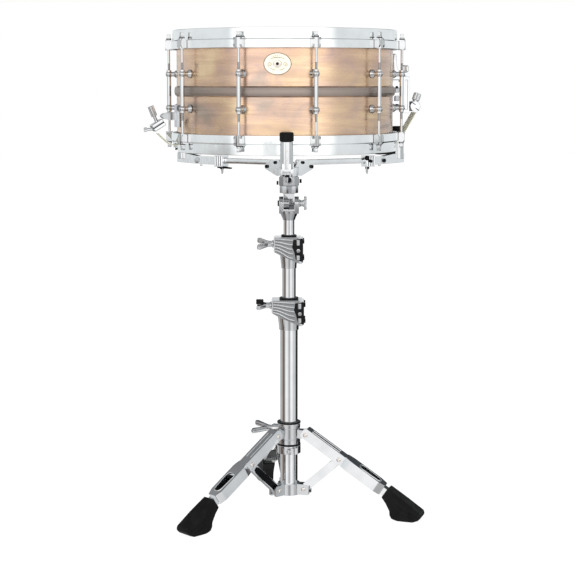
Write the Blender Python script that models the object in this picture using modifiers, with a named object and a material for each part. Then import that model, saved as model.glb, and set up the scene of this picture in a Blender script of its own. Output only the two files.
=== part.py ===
"""A 14 by 6.5 inch snare drum on its folding tripod stand.

Metres, +Z up. The floor is z = 0 and the mast stands at (MAST_X, MAST_Y), so that the origin is the
middle of the whole object's footprint. Azimuths are in degrees, measured from the front (-Y) towards +X.
"""

import math

import bmesh
import bpy
from mathutils import Matrix, Vector

MM = 0.001
GAP = 0.35 * MM  # left between pieces that touch

# Where the object stands. The stand's own dimensions below are for its nominal size.
MAST_X = 4.5 * MM
MAST_Y = -2.8 * MM
STAND_SCALE = 1.028

# Drum
DRUM_OFFSET = -6.8 * MM  # the loose drum sits to one side of the mast in its basket
DRUM_Z = 708.8 * MM  # middle of the shell
SHELL_R = 177.8 * MM
SHELL_HALF = 82.5 * MM
SHELL_WALL = 1.4 * MM
BEAD_R = 181.6 * MM
BEAD_HALF = 6.35 * MM
HOOP_EDGE = 98.0 * MM  # hoop's free edge, from the middle of the shell
HOOP_LEDGE = 80.5 * MM
HOOP_FOOT = 67.0 * MM
HOOP_BAND_R = 187.0 * MM
HOOP_RIM_R = 184.2 * MM
HOOP_WALL = 2.4 * MM
GATE_HALF_WIDTH = 19.0 * MM
GATE_DEPTH = 14.5 * MM
FILM_Z = 83.4 * MM
FILM_THICK = 0.5 * MM
FLESH_HOOP_R = 183.9 * MM
FLESH_HOOP_TOP = 76.8 * MM
FLESH_HOOP_FOOT = 70.0 * MM
DRUM_STEPS = 40

# Lugs and tension rods
LUG_COUNT = 10
FIRST_LUG = -93.5
ROD_CIRCLE_R = 192.1 * MM
LUG_POST_Z = 27.5 * MM
ROD_R = 2.3 * MM

# Snare strainer and butt
THROW_AZIMUTH = 104.5
BUTT_AZIMUTH = -75.5
WIRE_COUNT = 20
WIRE_HALF_LENGTH = 150.0 * MM
WIRE_PITCH = 2.15 * MM
WIRE_Z = -85.0 * MM
THROW_PIVOT_Z = 23.5 * MM

# Badge
BADGE_AZIMUTH = -3.5
BADGE_Z = 42.5 * MM
BADGE_HALF_WIDTH = 21.5 * MM
BADGE_HALF_HEIGHT = 17.0 * MM
VENT_R = 5.6 * MM

# Mast
LOWER_R = 14.3 * MM
LOWER_BORE_R = 12.7 * MM
LOWER_FOOT = 28.0 * MM
LOWER_TOP = 347.0 * MM
MIDDLE_R = 11.1 * MM
MIDDLE_BORE_R = 10.0 * MM
MIDDLE_FOOT = 150.0 * MM
MIDDLE_TOP = 450.0 * MM
UPPER_R = 8.75 * MM
UPPER_BORE_R = 7.0 * MM
UPPER_FOOT = 300.0 * MM
UPPER_TOP = 486.0 * MM
TILT_Z = 509.0 * MM
TUBE_STEPS = 24

# Tripod: pivots as (radius, height) in each leg's own plane
LEG_AZIMUTHS = {"left": -47.5, "right": 72.5, "rear": 192.5}
LEG_PIVOT = (31.0 * MM, 130.0 * MM)
LEG_SLOPE = 33.0
RIVET_ALONG_LEG = 68.0 * MM
BRACE_PIVOT = (27.0 * MM, 38.5 * MM)
BRACE_HALF_WIDTH = 7.0 * MM
BRACE_TIP_R = 4.0 * MM  # inside the leg's channel, small enough to swing clear of its web
BRACE_TAPER = 20.0 * MM
CHANNEL_HALF = 9.5 * MM
CHANNEL_TOP = 9.9 * MM
CHANNEL_FOOT = -7.5 * MM
CHANNEL_WALL = 1.6 * MM
LEG_END = 158.4 * MM
LEG_BOLT_AZIMUTH = -107.5
LEG_BOLT_Z = 136.0 * MM

# Basket
ARM_AZIMUTHS = {"front": -1.0, "right": 118.5, "left": -121.5}
ARM_PIVOT = (22.0 * MM, 574.5 * MM)
GRIP_R = 208.0 * MM
SLEEVE_R = 9.7 * MM
CAP_R = 10.6 * MM

UPPER_BOLT_Z = 443.0 * MM
LOWER_BOLT_Z = 342.0 * MM
BOLT_R = 3.6 * MM
BOLT_BORE_R = 4.3 * MM

COLOURS = {
    "copper": ((0.42, 0.20, 0.11), 0.38, 1.0),
    "chrome": ((0.78, 0.79, 0.80), 0.08, 1.0),
    "dark_steel": ((0.05, 0.05, 0.055), 0.35, 1.0),
    "steel_wire": ((0.60, 0.60, 0.62), 0.25, 1.0),
    "coated_film": ((0.86, 0.85, 0.82), 0.60, 0.0),
    "clear_film": ((0.75, 0.76, 0.76), 0.20, 0.0),
    "rubber": ((0.018, 0.018, 0.018), 0.75, 0.0),
    "enamel": ((0.80, 0.76, 0.66), 0.35, 0.2),
    "strap": ((0.62, 0.60, 0.34), 0.30, 0.0),
}


# ---------------------------------------------------------------- scene and helpers


def clear_scene():
    for obj in list(bpy.data.objects):
        bpy.data.objects.remove(obj, do_unlink=True)


def collection(name):
    made = bpy.data.collections.new(name)
    bpy.context.scene.collection.children.link(made)
    return made


def material(name):
    if name in bpy.data.materials:
        return bpy.data.materials[name]
    colour, roughness, metallic = COLOURS[name]
    made = bpy.data.materials.new(name)
    made.use_nodes = True
    shader = made.node_tree.nodes["Principled BSDF"]
    shader.inputs["Base Color"].default_value = (*colour, 1.0)
    shader.inputs["Roughness"].default_value = roughness
    shader.inputs["Metallic"].default_value = metallic
    return made


def helper(mesh):
    """An object for a mesh that is only an ingredient of a part."""
    obj = bpy.data.objects.new(mesh.name, mesh)
    obj.hide_render = True
    obj.display_type = "WIRE"
    HELPERS.objects.link(obj)
    return obj


def from_bmesh(bm, name="shape"):
    mesh = bpy.data.meshes.new(name)
    bm.to_mesh(mesh)
    bm.free()
    return helper(mesh)


def facing(azimuth):
    """Turn that carries local +X to the outward direction at this azimuth."""
    return math.radians(azimuth - 90.0)


def polar(azimuth, radius, height=0.0):
    angle = facing(azimuth)
    return Vector((radius * math.cos(angle), radius * math.sin(angle), height))


def block(low, high, bevel=0.0):
    """A box between two corners, in metres."""
    low = Vector(low)
    high = Vector(high)
    size = high - low
    bm = bmesh.new()
    place = Matrix.Translation((low + high) / 2) @ Matrix.Diagonal((*size, 1.0))
    bmesh.ops.create_cube(bm, size=1.0, matrix=place)
    if bevel:
        bmesh.ops.bevel(bm, geom=bm.edges[:], offset=bevel, segments=1, affect="EDGES")
    return from_bmesh(bm)


def rod(start, end, radius, sides=16, end_radius=None):
    """A cylinder or cone from one point to another."""
    start = Vector(start)
    end = Vector(end)
    along = end - start
    place = Matrix.Translation((start + end) / 2) @ along.to_track_quat("Z", "Y").to_matrix().to_4x4()
    bm = bmesh.new()
    bmesh.ops.create_cone(
        bm,
        cap_ends=True,
        segments=sides,
        radius1=radius,
        radius2=radius if end_radius is None else end_radius,
        depth=along.length,
        matrix=place,
    )
    return from_bmesh(bm)


def ball(centre, radius, around=8, rings=5):
    bm = bmesh.new()
    bmesh.ops.create_uvsphere(
        bm,
        u_segments=around,
        v_segments=rings,
        radius=radius,
        matrix=Matrix.Translation(centre),
    )
    return from_bmesh(bm)


def arc(centre, radius, start, end, steps=8):
    """Points of an arc in a plane, angles in degrees."""
    turns = [math.radians(start + (end - start) * i / steps) for i in range(steps + 1)]
    return [(centre[0] + radius * math.cos(t), centre[1] + radius * math.sin(t)) for t in turns]


def plate(outline, half_thickness, plane="XZ"):
    """A flat outline given thickness. XZ outlines stand upright and thicken along Y."""
    curve = bpy.data.curves.new("outline", "CURVE")
    curve.dimensions = "2D"
    curve.fill_mode = "BOTH"
    curve.extrude = half_thickness
    spline = curve.splines.new("POLY")
    spline.points.add(len(outline) - 1)
    for point, (across, up) in zip(spline.points, outline):
        point.co = (across, up, 0.0, 1.0)
    spline.use_cyclic_u = True
    obj = bpy.data.objects.new("outline", curve)
    HELPERS.objects.link(obj)
    mesh = bpy.data.meshes.new_from_object(obj.evaluated_get(bpy.context.evaluated_depsgraph_get()))
    bpy.data.objects.remove(obj)
    upright = {
        "XZ": Matrix.Rotation(math.radians(90), 4, "X"),
        "YZ": Matrix.Rotation(math.radians(90), 4, "Z") @ Matrix.Rotation(math.radians(90), 4, "X"),
        "XY": Matrix.Identity(4),
    }[plane]
    bm = bmesh.new()
    bm.from_mesh(mesh)
    bpy.data.meshes.remove(mesh)
    bmesh.ops.remove_doubles(bm, verts=bm.verts, dist=0.01 * MM)
    bmesh.ops.transform(bm, matrix=upright, verts=bm.verts)
    bmesh.ops.recalc_face_normals(bm, faces=bm.faces)
    return from_bmesh(bm)


def turned(profile, steps, closed=True):
    """A profile of (radius, height) points, running down its outer side, turned about Z."""
    mesh = bpy.data.meshes.new("profile")
    edges = [(i, i + 1) for i in range(len(profile) - 1)]
    if closed:
        edges.append((len(profile) - 1, 0))
    mesh.from_pydata([(radius, 0.0, height) for radius, height in profile], edges, [])
    obj = helper(mesh)
    screw = obj.modifiers.new("turn", "SCREW")
    screw.axis = "Z"
    screw.steps = steps
    screw.render_steps = steps
    screw.use_merge_vertices = True
    screw.merge_threshold = 0.00001
    return obj


def ring(inner, outer, low, high, steps=TUBE_STEPS):
    return turned([(outer, high), (outer, low), (inner, low), (inner, high)], steps)


def moved(obj, place):
    """The helper with this matrix applied in front of its own."""
    obj.matrix_world = place @ obj.matrix_world
    bpy.context.view_layer.update()
    return obj


def baked(obj, name):
    graph = bpy.context.evaluated_depsgraph_get()
    mesh = bpy.data.meshes.new_from_object(obj.evaluated_get(graph))
    mesh.transform(obj.matrix_world)
    mesh.name = name
    return mesh


def combined(name, pieces, cuts=(), shared=()):
    """One mesh: the pieces joined, then the cuts taken away, then only what is shared kept."""
    base = pieces[0]
    steps = [(piece, "UNION") for piece in pieces[1:]]
    steps += [(cutter, "DIFFERENCE") for cutter in cuts]
    steps += [(other, "INTERSECT") for other in shared]
    for other, operation in steps:
        boolean = base.modifiers.new(operation.lower(), "BOOLEAN")
        boolean.operation = operation
        boolean.solver = "EXACT"
        boolean.object = other
    bpy.context.view_layer.update()
    mesh = baked(base, name)
    for used in {base, *pieces, *cuts, *shared}:
        bpy.data.objects.remove(used)
    return mesh


def part(name, mesh, look, parent=None, location=(0.0, 0.0, 0.0), rotation=(0.0, 0.0, 0.0)):
    """A finished part: its mesh is in its own frame, placed by location and rotation."""
    obj = bpy.data.objects.new(name, mesh)
    PARTS.objects.link(obj)
    obj.parent = parent or MAST
    obj.location = location
    obj.rotation_euler = rotation
    if not mesh.materials:
        mesh.materials.append(material(look))
    mesh.shade_smooth()
    mesh.set_sharp_from_angle(angle=math.radians(35))
    return obj


def empty(name, location):
    obj = bpy.data.objects.new(name, None)
    PARTS.objects.link(obj)
    obj.location = location
    return obj


# ---------------------------------------------------------------- drum


def shell():
    outer = SHELL_R
    inner = SHELL_R - SHELL_WALL
    half = BEAD_HALF
    slope = 2.2 * MM
    step = BEAD_R - SHELL_R
    outside = [(outer, SHELL_HALF), (outer, half + slope), (outer + step, half), (outer + step, -half)]
    outside += [(outer, -half - slope), (outer, -SHELL_HALF)]
    inside = [(inner, -SHELL_HALF), (inner, -half - slope), (inner + step, -half), (inner + step, half)]
    inside += [(inner, half + slope), (inner, SHELL_HALF)]
    vent = rod(
        polar(BADGE_AZIMUTH, 170 * MM, BADGE_Z),
        polar(BADGE_AZIMUTH, 185 * MM, BADGE_Z),
        VENT_R + 0.5 * MM,
    )
    mesh = combined("shell", [turned(outside + inside, DRUM_STEPS)], [vent])
    part("shell", mesh, "copper", DRUM)


def badge():
    """A curved oval plate with the vent's grommet in its middle."""
    layer = ring(SHELL_R + GAP, SHELL_R + 1.5 * MM, -30 * MM, 30 * MM, 96)
    oval = [
        (BADGE_HALF_WIDTH * math.cos(math.tau * i / 32), BADGE_HALF_HEIGHT * math.sin(math.tau * i / 32))
        for i in range(32)
    ]
    prism = plate(oval, 10 * MM)
    moved(prism, Matrix.Translation((0.0, -SHELL_R, 0.0)))
    disc = combined("badge_plate", [layer], shared=[prism])
    grommet = rod((0, -174 * MM, 0), (0, -SHELL_R - 2.6 * MM, 0), VENT_R, 20)
    hole = rod((0, -170 * MM, 0), (0, -190 * MM, 0), 3.4 * MM, 16)
    mesh = combined("badge", [helper(disc), grommet], [hole])
    turn = math.radians(BADGE_AZIMUTH)
    part("badge", mesh, "enamel", DRUM, (0, 0, BADGE_Z), (0, 0, turn))


def head(name, look, side):
    """A film stretched over the shell's edge and the ring that it is gripped by."""
    film = FILM_Z - FILM_THICK
    collar = SHELL_R + 0.9 * MM
    profile = [
        (0.0, FILM_Z),
        (collar - 0.5 * MM, FILM_Z),
        (collar + 0.6 * MM, FILM_Z - 0.8 * MM),
        (collar + 0.6 * MM, FLESH_HOOP_TOP),
        (FLESH_HOOP_R, FLESH_HOOP_TOP),
        (FLESH_HOOP_R, FLESH_HOOP_FOOT),
        (collar, FLESH_HOOP_FOOT),
        (collar, film),
        (0.0, film),
    ]
    mesh = combined(name, [turned(profile, DRUM_STEPS, closed=False)])
    part(name, mesh, look, DRUM, rotation=(0.0 if side > 0 else math.pi, 0.0, 0.0))


def hoop_profile():
    rim_inner = HOOP_RIM_R - HOOP_WALL
    band_inner = HOOP_BAND_R - 2.2 * MM
    return [
        (HOOP_RIM_R - 0.5 * MM, HOOP_EDGE),
        (HOOP_RIM_R, HOOP_EDGE - 0.6 * MM),
        (HOOP_RIM_R, HOOP_LEDGE),
        (HOOP_BAND_R - 0.5 * MM, HOOP_LEDGE - 0.2 * MM),
        (HOOP_BAND_R, HOOP_LEDGE - 1.0 * MM),
        (HOOP_BAND_R, HOOP_FOOT),
        (band_inner, HOOP_FOOT),
        (band_inner, HOOP_LEDGE - 3.0 * MM),
        (rim_inner, HOOP_LEDGE - 3.0 * MM),
        (rim_inner, HOOP_EDGE),
    ]


def batter_hoop():
    mesh = combined("batter_hoop", [turned(hoop_profile(), DRUM_STEPS)])
    part("batter_hoop", mesh, "chrome", DRUM)


def snare_hoop():
    """The same hoop upside down, with a gate for each strap."""
    gates = []
    for azimuth in (THROW_AZIMUTH, BUTT_AZIMUTH):
        low = (170 * MM, -GATE_HALF_WIDTH, -HOOP_EDGE - 2 * MM)
        gate = block(low, (HOOP_BAND_R + 2.5 * MM, GATE_HALF_WIDTH, -HOOP_EDGE + GATE_DEPTH))
        gates.append(moved(gate, Matrix.Rotation(facing(azimuth), 4, "Z")))
    hoop = moved(turned(hoop_profile(), DRUM_STEPS), Matrix.Rotation(math.pi, 4, "X"))
    mesh = combined("snare_hoop", [hoop], gates)
    part("snare_hoop", mesh, "chrome", DRUM)


def rod_hardware(side):
    """A tension rod with its claw, washer and square key head, on one side of a lug."""

    def between(radius, half_width, low, high, outer):
        ends = sorted((side * low, side * high))
        return block((radius, -half_width, ends[0]), (outer, half_width, ends[1]))

    def round_piece(radius, low, high, sides):
        return rod((ROD_CIRCLE_R, 0, side * low), (ROD_CIRCLE_R, 0, side * high), radius, sides)

    claw_top = HOOP_LEDGE + 2.5 * MM
    washer_top = claw_top + 1.3 * MM
    key_half = 2.8 * MM
    rod_piece = round_piece(ROD_R, 20 * MM, claw_top + 3 * MM, 6)
    claw = between(HOOP_BAND_R + GAP, 8 * MM, HOOP_FOOT + 1 * MM, claw_top, 197 * MM)
    hook = between(HOOP_RIM_R + GAP, 6.5 * MM, HOOP_LEDGE + GAP, claw_top, 190 * MM)
    washer = round_piece(4.4 * MM, claw_top - 0.5 * MM, washer_top, 8)
    key = between(ROD_CIRCLE_R - key_half, key_half, claw_top + 1 * MM, claw_top + 9 * MM, ROD_CIRCLE_R + key_half)
    return [rod_piece, claw, hook, washer, key]


def lug_mesh():
    """A tube lug on two posts, with the two tension rods that screw into its ends."""
    tube_half = 33 * MM
    pieces = [rod((ROD_CIRCLE_R, 0, -tube_half), (ROD_CIRCLE_R, 0, tube_half), 3.7 * MM, 10)]
    for side in (-1, 1):
        height = side * LUG_POST_Z
        pieces.append(ball((ROD_CIRCLE_R, 0, height), 5.2 * MM))
        pieces.append(rod((SHELL_R + 2 * MM, 0, height), (ROD_CIRCLE_R, 0, height), 3.2 * MM, 8))
        base = rod((SHELL_R + GAP, 0, height), (SHELL_R + 3.4 * MM, 0, height), 6.4 * MM, 12, 4.4 * MM)
        pieces.append(base)
        pieces += rod_hardware(side)
    return combined("lug", pieces)


def lugs():
    mesh = lug_mesh()
    for index in range(LUG_COUNT):
        azimuth = FIRST_LUG + index * 360.0 / LUG_COUNT
        part(f"lug_{index + 1:02d}", mesh, "chrome", DRUM, rotation=(0, 0, facing(azimuth)))


# ---------------------------------------------------------------- snare strainer
# Every piece here is built with +X outwards from the shell and z from the middle of the shell.


def throw_off_base():
    spine = block((182.2 * MM, -10 * MM, -36 * MM), (200 * MM, 10 * MM, 15 * MM), 1.5 * MM)
    hollow = block((185 * MM, -7 * MM, -40 * MM), (197 * MM, 7 * MM, 11 * MM))
    low_foot = block((178.3 * MM, -9 * MM, -35 * MM), (183.5 * MM, 9 * MM, -12 * MM))
    high_foot = block((178.3 * MM, -7 * MM, 10 * MM), (184.4 * MM, 7 * MM, 31 * MM))
    riser = block((198 * MM, -5 * MM, -33 * MM), (203.1 * MM, 5 * MM, 30.5 * MM))
    bridge = block((199.2 * MM, -6.5 * MM, 26.5 * MM), (214.5 * MM, 6.5 * MM, 30.5 * MM))
    lever_room = block((184.8 * MM, -12 * MM, 14.8 * MM), (199.1 * MM, 12 * MM, 40 * MM))
    screw_hole = rod((208.6 * MM, 0, 20 * MM), (208.6 * MM, 0, 35 * MM), 2.9 * MM, 12)
    pivot_hole = rod((181 * MM, 0, THROW_PIVOT_Z), (188 * MM, 0, THROW_PIVOT_Z), 2.9 * MM, 12)
    pieces = [spine, low_foot, high_foot, riser, bridge]
    mesh = combined("throw_off_base", pieces, [hollow, lever_room, screw_hole, pivot_hole])
    part("throw_off_base", mesh, "chrome", DRUM, rotation=(0, 0, facing(THROW_AZIMUTH)))


def throw_off_lever():
    """A curved thumb lever that swings sideways about a pin pointing outwards."""
    low = -5.8 * MM
    outline = [(185.2 * MM, low), (198.6 * MM, low), (198.6 * MM, 3 * MM), (196 * MM, 8 * MM)]
    outline += [(192.6 * MM, 20 * MM), (191 * MM, 38 * MM), (187.5 * MM, 38.5 * MM), (186.6 * MM, 26 * MM)]
    outline += [(187.6 * MM, 12 * MM), (185.2 * MM, 6 * MM)]
    leaf = plate(outline, 5.6 * MM)
    pin = rod((181.5 * MM, 0, 0), (196 * MM, 0, 0), 2.3 * MM, 12)
    mesh = combined("throw_off_lever", [leaf, pin])
    place = (0, 0, THROW_PIVOT_Z)
    part("throw_off_lever", mesh, "chrome", DRUM, place, (0, 0, facing(THROW_AZIMUTH)))


def throw_off_slider():
    body = block((203.5 * MM, -7 * MM, -37 * MM), (214.5 * MM, 7 * MM, 23.6 * MM), 1.2 * MM)
    groove = block((211 * MM, -3 * MM, -30 * MM), (216 * MM, 3 * MM, 17 * MM))
    mesh = combined("throw_off_slider", [body], [groove])
    part("throw_off_slider", mesh, "chrome", DRUM, rotation=(0, 0, facing(THROW_AZIMUTH)))


def strap_clamp():
    """A round jaw that holds the strap, with its knurled screw leaning outwards."""
    centre = Vector((224.0 * MM, 0, -26 * MM))
    lean = Vector((0.36, 0.0, 1.0)).normalized()
    half_width = Vector((0, 11 * MM, 0))
    jaw = rod(centre - half_width, centre + half_width, 8.9 * MM, 20)
    stem = rod(centre, centre + lean * 14 * MM, 3.0 * MM, 10)
    knob = rod(centre + lean * 10.5 * MM, centre + lean * 23 * MM, 6.4 * MM, 16)
    mesh = combined("strap_clamp", [jaw, stem, knob])
    part("strap_clamp", mesh, "chrome", DRUM, rotation=(0, 0, facing(THROW_AZIMUTH)))


def tension_knob():
    disc = rod((0, 0, 32 * MM), (0, 0, 43 * MM), 6.6 * MM, 20)
    stem = rod((0, 0, 24.2 * MM), (0, 0, 33 * MM), 2.2 * MM, 12)
    mesh = combined("tension_knob", [disc, stem])
    place = polar(THROW_AZIMUTH, 208.6 * MM)
    part("tension_knob", mesh, "chrome", DRUM, place)


def strap(name, azimuth, top):
    """A thin band from a clamp down through the hoop's gate to the wires' end plate."""
    thick = 1.0 * MM
    gate = (196 * MM, -83 * MM)
    inner = 166.6 * MM
    under = [(190.6 * MM, -86 * MM - thick), (inner, -86 * MM - thick)]
    outline = [top, gate, (190 * MM, -86 * MM), (inner, -86 * MM)]
    across = (Vector(top) - Vector(gate)).normalized()
    side = Vector((across.y, -across.x)) * thick
    back = [under[1], under[0], tuple(Vector(gate) + side), tuple(Vector(top) + side)]
    mesh = combined(name, [plate(outline + back, 13 * MM)])
    part(name, mesh, "strap", DRUM, rotation=(0, 0, facing(azimuth)))


def snare_wires():
    """Parallel wires between two end plates, just clear of the snare-side film."""
    pieces = []
    for end in (-1, 1):
        reach = sorted((end * (WIRE_HALF_LENGTH - 1 * MM), end * 166.1 * MM))
        pieces.append(block((reach[0], -22 * MM, -86.4 * MM), (reach[1], 22 * MM, -84.0 * MM)))
    for index in range(WIRE_COUNT):
        across = (index - (WIRE_COUNT - 1) / 2) * WIRE_PITCH
        start = (-WIRE_HALF_LENGTH - 2 * MM, across, WIRE_Z)
        pieces.append(rod(start, (WIRE_HALF_LENGTH + 2 * MM, across, WIRE_Z), 0.8 * MM, 6))
    mesh = combined("snare_wires", pieces)
    part("snare_wires", mesh, "steel_wire", DRUM, rotation=(0, 0, facing(THROW_AZIMUTH)))


def butt():
    """The fixed end of the wires: a bracket on the shell and a tilted clamp."""
    turn = (0, 0, facing(BUTT_AZIMUTH))
    foot = block((178.3 * MM, -11 * MM, -58 * MM), (183 * MM, 11 * MM, -22 * MM), 1 * MM)
    arm = [(181 * MM, -34 * MM), (192 * MM, -33.6 * MM), (203 * MM, -36 * MM), (208 * MM, -40 * MM)]
    arm += [(203 * MM, -44 * MM), (192 * MM, -46 * MM), (181 * MM, -46 * MM)]
    mesh = combined("butt_plate", [foot, plate(arm, 10 * MM)])
    part("butt_plate", mesh, "chrome", DRUM, rotation=turn)

    jaw = block((-10.5 * MM, -12 * MM, -6 * MM), (10.5 * MM, 12 * MM, 6 * MM), 1.2 * MM)
    moved(jaw, Matrix.Translation((212.5 * MM, 0, -54.5 * MM)) @ Matrix.Rotation(math.radians(32), 4, "Y"))
    knob = rod((214 * MM, 0, -50 * MM), (224 * MM, 0, -24 * MM), 5 * MM, 14)
    screw = rod((212 * MM, 0, -60 * MM), (235 * MM, 0, -62 * MM), 3.5 * MM, 10)
    mesh = combined("butt_clamp", [jaw, knob, screw])
    part("butt_clamp", mesh, "chrome", DRUM, rotation=turn)


# ---------------------------------------------------------------- mast


def mast_tube(name, outer, bore, low, high):
    mesh = combined(name, [ring(bore, outer, low, high)])
    part(name, mesh, "chrome")


def height_clamp(name, outline, depth, skirt, bores, bolt_z):
    """A ribbed casting that grips the tube above it, on a tapered skirt."""
    top, bottom, top_r, bottom_r, bore_r = skirt
    pieces = [plate(outline, depth)]
    pieces.append(turned([(top_r, top), (bottom_r, bottom), (bore_r, bottom), (bore_r, top)], TUBE_STEPS))
    cuts = [rod((0, 0, low), (0, 0, high), radius, TUBE_STEPS) for radius, low, high in bores]
    cuts.append(rod((-40 * MM, 0, bolt_z), (-8 * MM, 0, bolt_z), BOLT_BORE_R, 12))
    mesh = combined(name, pieces, cuts)
    part(name, mesh, "chrome")


def lower_clamp():
    outline = [(-28 * MM, 352.5 * MM), (-28 * MM, 332 * MM), (-14 * MM, 324 * MM), (20 * MM, 310 * MM)]
    outline += [(24.5 * MM, 313 * MM), (24.5 * MM, 349 * MM), (21 * MM, 352.5 * MM)]
    skirt = (330 * MM, 302.5 * MM, 18.8 * MM, 16 * MM, 14.6 * MM)
    bores = [(14.7 * MM, 290 * MM, 347.5 * MM), (11.6 * MM, 340 * MM, 360 * MM)]
    height_clamp("lower_clamp", outline, 20 * MM, skirt, bores, LOWER_BOLT_Z)


def upper_clamp():
    outline = [(-24.5 * MM, 455 * MM), (-24.5 * MM, 431 * MM), (-10 * MM, 424 * MM), (19 * MM, 411 * MM)]
    outline += [(23 * MM, 414 * MM), (23 * MM, 451 * MM), (19 * MM, 455 * MM)]
    skirt = (430 * MM, 403.5 * MM, 15.2 * MM, 12.4 * MM, 11.4 * MM)
    bores = [(11.5 * MM, 390 * MM, 450.5 * MM), (9.3 * MM, 440 * MM, 460 * MM)]
    height_clamp("upper_clamp", outline, 16.5 * MM, skirt, bores, UPPER_BOLT_Z)


def wing_bolt_mesh(name, inner, outer, reach, spread):
    """A bolt along +X with two wings; inner is the hidden end of its stem, outer where its hub starts."""
    hub = outer + 9 * MM
    stem = rod((inner, 0, 0), (outer + 3 * MM, 0, 0), BOLT_R, 12)
    boss = rod((outer, 0, 0), (hub, 0, 0), 6 * MM, 14, 5 * MM)
    wing = [(outer + 3 * MM, -4 * MM), (hub, -5 * MM), (reach, -spread), (reach, -spread + 7 * MM)]
    wing += [(hub + 2 * MM, 0.0)]
    wing += [(x, -z) for x, z in reversed(wing[:-1])]
    return combined(name, [stem, boss, plate(wing, 2.0 * MM)])


def wing_bolts():
    faces_left = math.pi
    mesh = wing_bolt_mesh("lower_wing_bolt", 16 * MM, 28.5 * MM, 53 * MM, 13 * MM)
    place = (0, 0, LOWER_BOLT_Z)
    part("lower_wing_bolt", mesh, "chrome", None, place, (math.radians(75), 0, faces_left))
    mesh = wing_bolt_mesh("upper_wing_bolt", 12 * MM, 25 * MM, 52 * MM, 13 * MM)
    place = (0, 0, UPPER_BOLT_Z)
    part("upper_wing_bolt", mesh, "chrome", None, place, (math.radians(25), 0, faces_left))
    mesh = wing_bolt_mesh("leg_wing_bolt", 15.5 * MM, 27.5 * MM, 62 * MM, 14 * MM)
    place = (0, 0, LEG_BOLT_Z)
    part("leg_wing_bolt", mesh, "chrome", None, place, (math.radians(20), 0, facing(LEG_BOLT_AZIMUTH)))
    mesh = wing_bolt_mesh("tilter_wing_bolt", -6 * MM, 16.4 * MM, 29 * MM, 12 * MM)
    part("tilter_wing_bolt", mesh, "chrome", None, (0, 0, TILT_Z), (math.radians(60), 0, 0))


def upper_tube():
    """The top tube with the yoke that the tilter swings in."""
    tube = rod((0, 0, UPPER_FOOT), (0, 0, UPPER_TOP), UPPER_R, TUBE_STEPS)
    collar = rod((0, 0, 482 * MM), (0, 0, 497 * MM), 10.5 * MM, TUBE_STEPS, 14 * MM)
    pieces = [tube, collar]
    outline = [(-11 * MM, 493 * MM)] + [(11 * MM, 493 * MM)] + arc((0, TILT_Z), 11 * MM, 0, 180)
    for side in (-1, 1):
        cheek = plate(outline, 3.4 * MM, "YZ")
        pieces.append(moved(cheek, Matrix.Translation((side * 12.6 * MM, 0, 0))))
    bore = rod((0, 0, 290 * MM), (0, 0, 478 * MM), UPPER_BORE_R, TUBE_STEPS)
    pin_hole = rod((5 * MM, 0, TILT_Z), (20 * MM, 0, TILT_Z), BOLT_BORE_R, 12)
    mesh = combined("upper_tube", pieces, [bore, pin_hole])
    part("upper_tube", mesh, "chrome")


def tilter():
    """The knuckle in the yoke, the spindle above it and the block under the basket."""
    knuckle = rod((-8.8 * MM, 0, 0), (8.8 * MM, 0, 0), 10.5 * MM, 20)
    neck = block((-8.8 * MM, -7 * MM, 0), (8.8 * MM, 7 * MM, 16.2 * MM))
    spindle = rod((0, 0, 14 * MM), (0, 0, 32 * MM), 5 * MM, 16)
    head_block = block((-17 * MM, -14 * MM, 29.2 * MM), (17 * MM, 14 * MM, 43.2 * MM), 1.5 * MM)
    pin_hole = rod((-7 * MM, 0, 0), (12 * MM, 0, 0), BOLT_BORE_R, 12)
    mesh = combined("tilter_body", [knuckle, neck, spindle, head_block], [pin_hole])
    part("tilter_body", mesh, "chrome", None, (0, 0, TILT_Z))


def basket_nut():
    """A scalloped ring on the spindle."""
    body = ring(5.5 * MM, 15 * MM, 16.6 * MM, 28.8 * MM, 24)
    grooves = []
    for index in range(8):
        spot = polar(index * 45.0, 16.4 * MM)
        low = Vector((spot.x, spot.y, 10 * MM))
        grooves.append(rod(low, low + Vector((0, 0, 30 * MM)), 2.6 * MM, 8))
    mesh = combined("basket_nut", [body], grooves)
    part("basket_nut", mesh, "dark_steel", None, (0, 0, TILT_Z))


# ---------------------------------------------------------------- basket


def basket_hub():
    """A round hub with a pair of flared cheeks for each arm."""
    pieces = [rod((0, 0, 552.6 * MM), (0, 0, 568 * MM), 16 * MM, TUBE_STEPS)]
    cheek = [(8 * MM, 553 * MM), (20 * MM, 553 * MM), (46 * MM, 565.5 * MM), (46 * MM, 570 * MM)]
    cheek += [(30 * MM, 579 * MM), (16 * MM, 579 * MM), (8 * MM, 566 * MM)]
    for azimuth in ARM_AZIMUTHS.values():
        for side in (-1, 1):
            wall = plate(cheek, 1.2 * MM)
            place = Matrix.Rotation(facing(azimuth), 4, "Z") @ Matrix.Translation((0, side * 5.0 * MM, 0))
            pieces.append(moved(wall, place))
    mesh = combined("basket_hub", pieces)
    part("basket_hub", mesh, "chrome")


def basket_arm(name, azimuth):
    """A flat bar on its pivot at the hub. Its frame is at the pivot."""
    pivot_r, pivot_z = ARM_PIVOT
    low = 570 * MM - pivot_z
    high = 579 * MM - pivot_z
    bar = block((-6 * MM, -3.2 * MM, low), (200 * MM - pivot_r, 3.2 * MM, high), 0.6 * MM)
    mesh = combined(f"basket_arm_{name}", [bar])
    turn = (0, 0, facing(azimuth))
    part(f"basket_arm_{name}", mesh, "chrome", None, polar(azimuth, pivot_r, pivot_z), turn)


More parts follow.
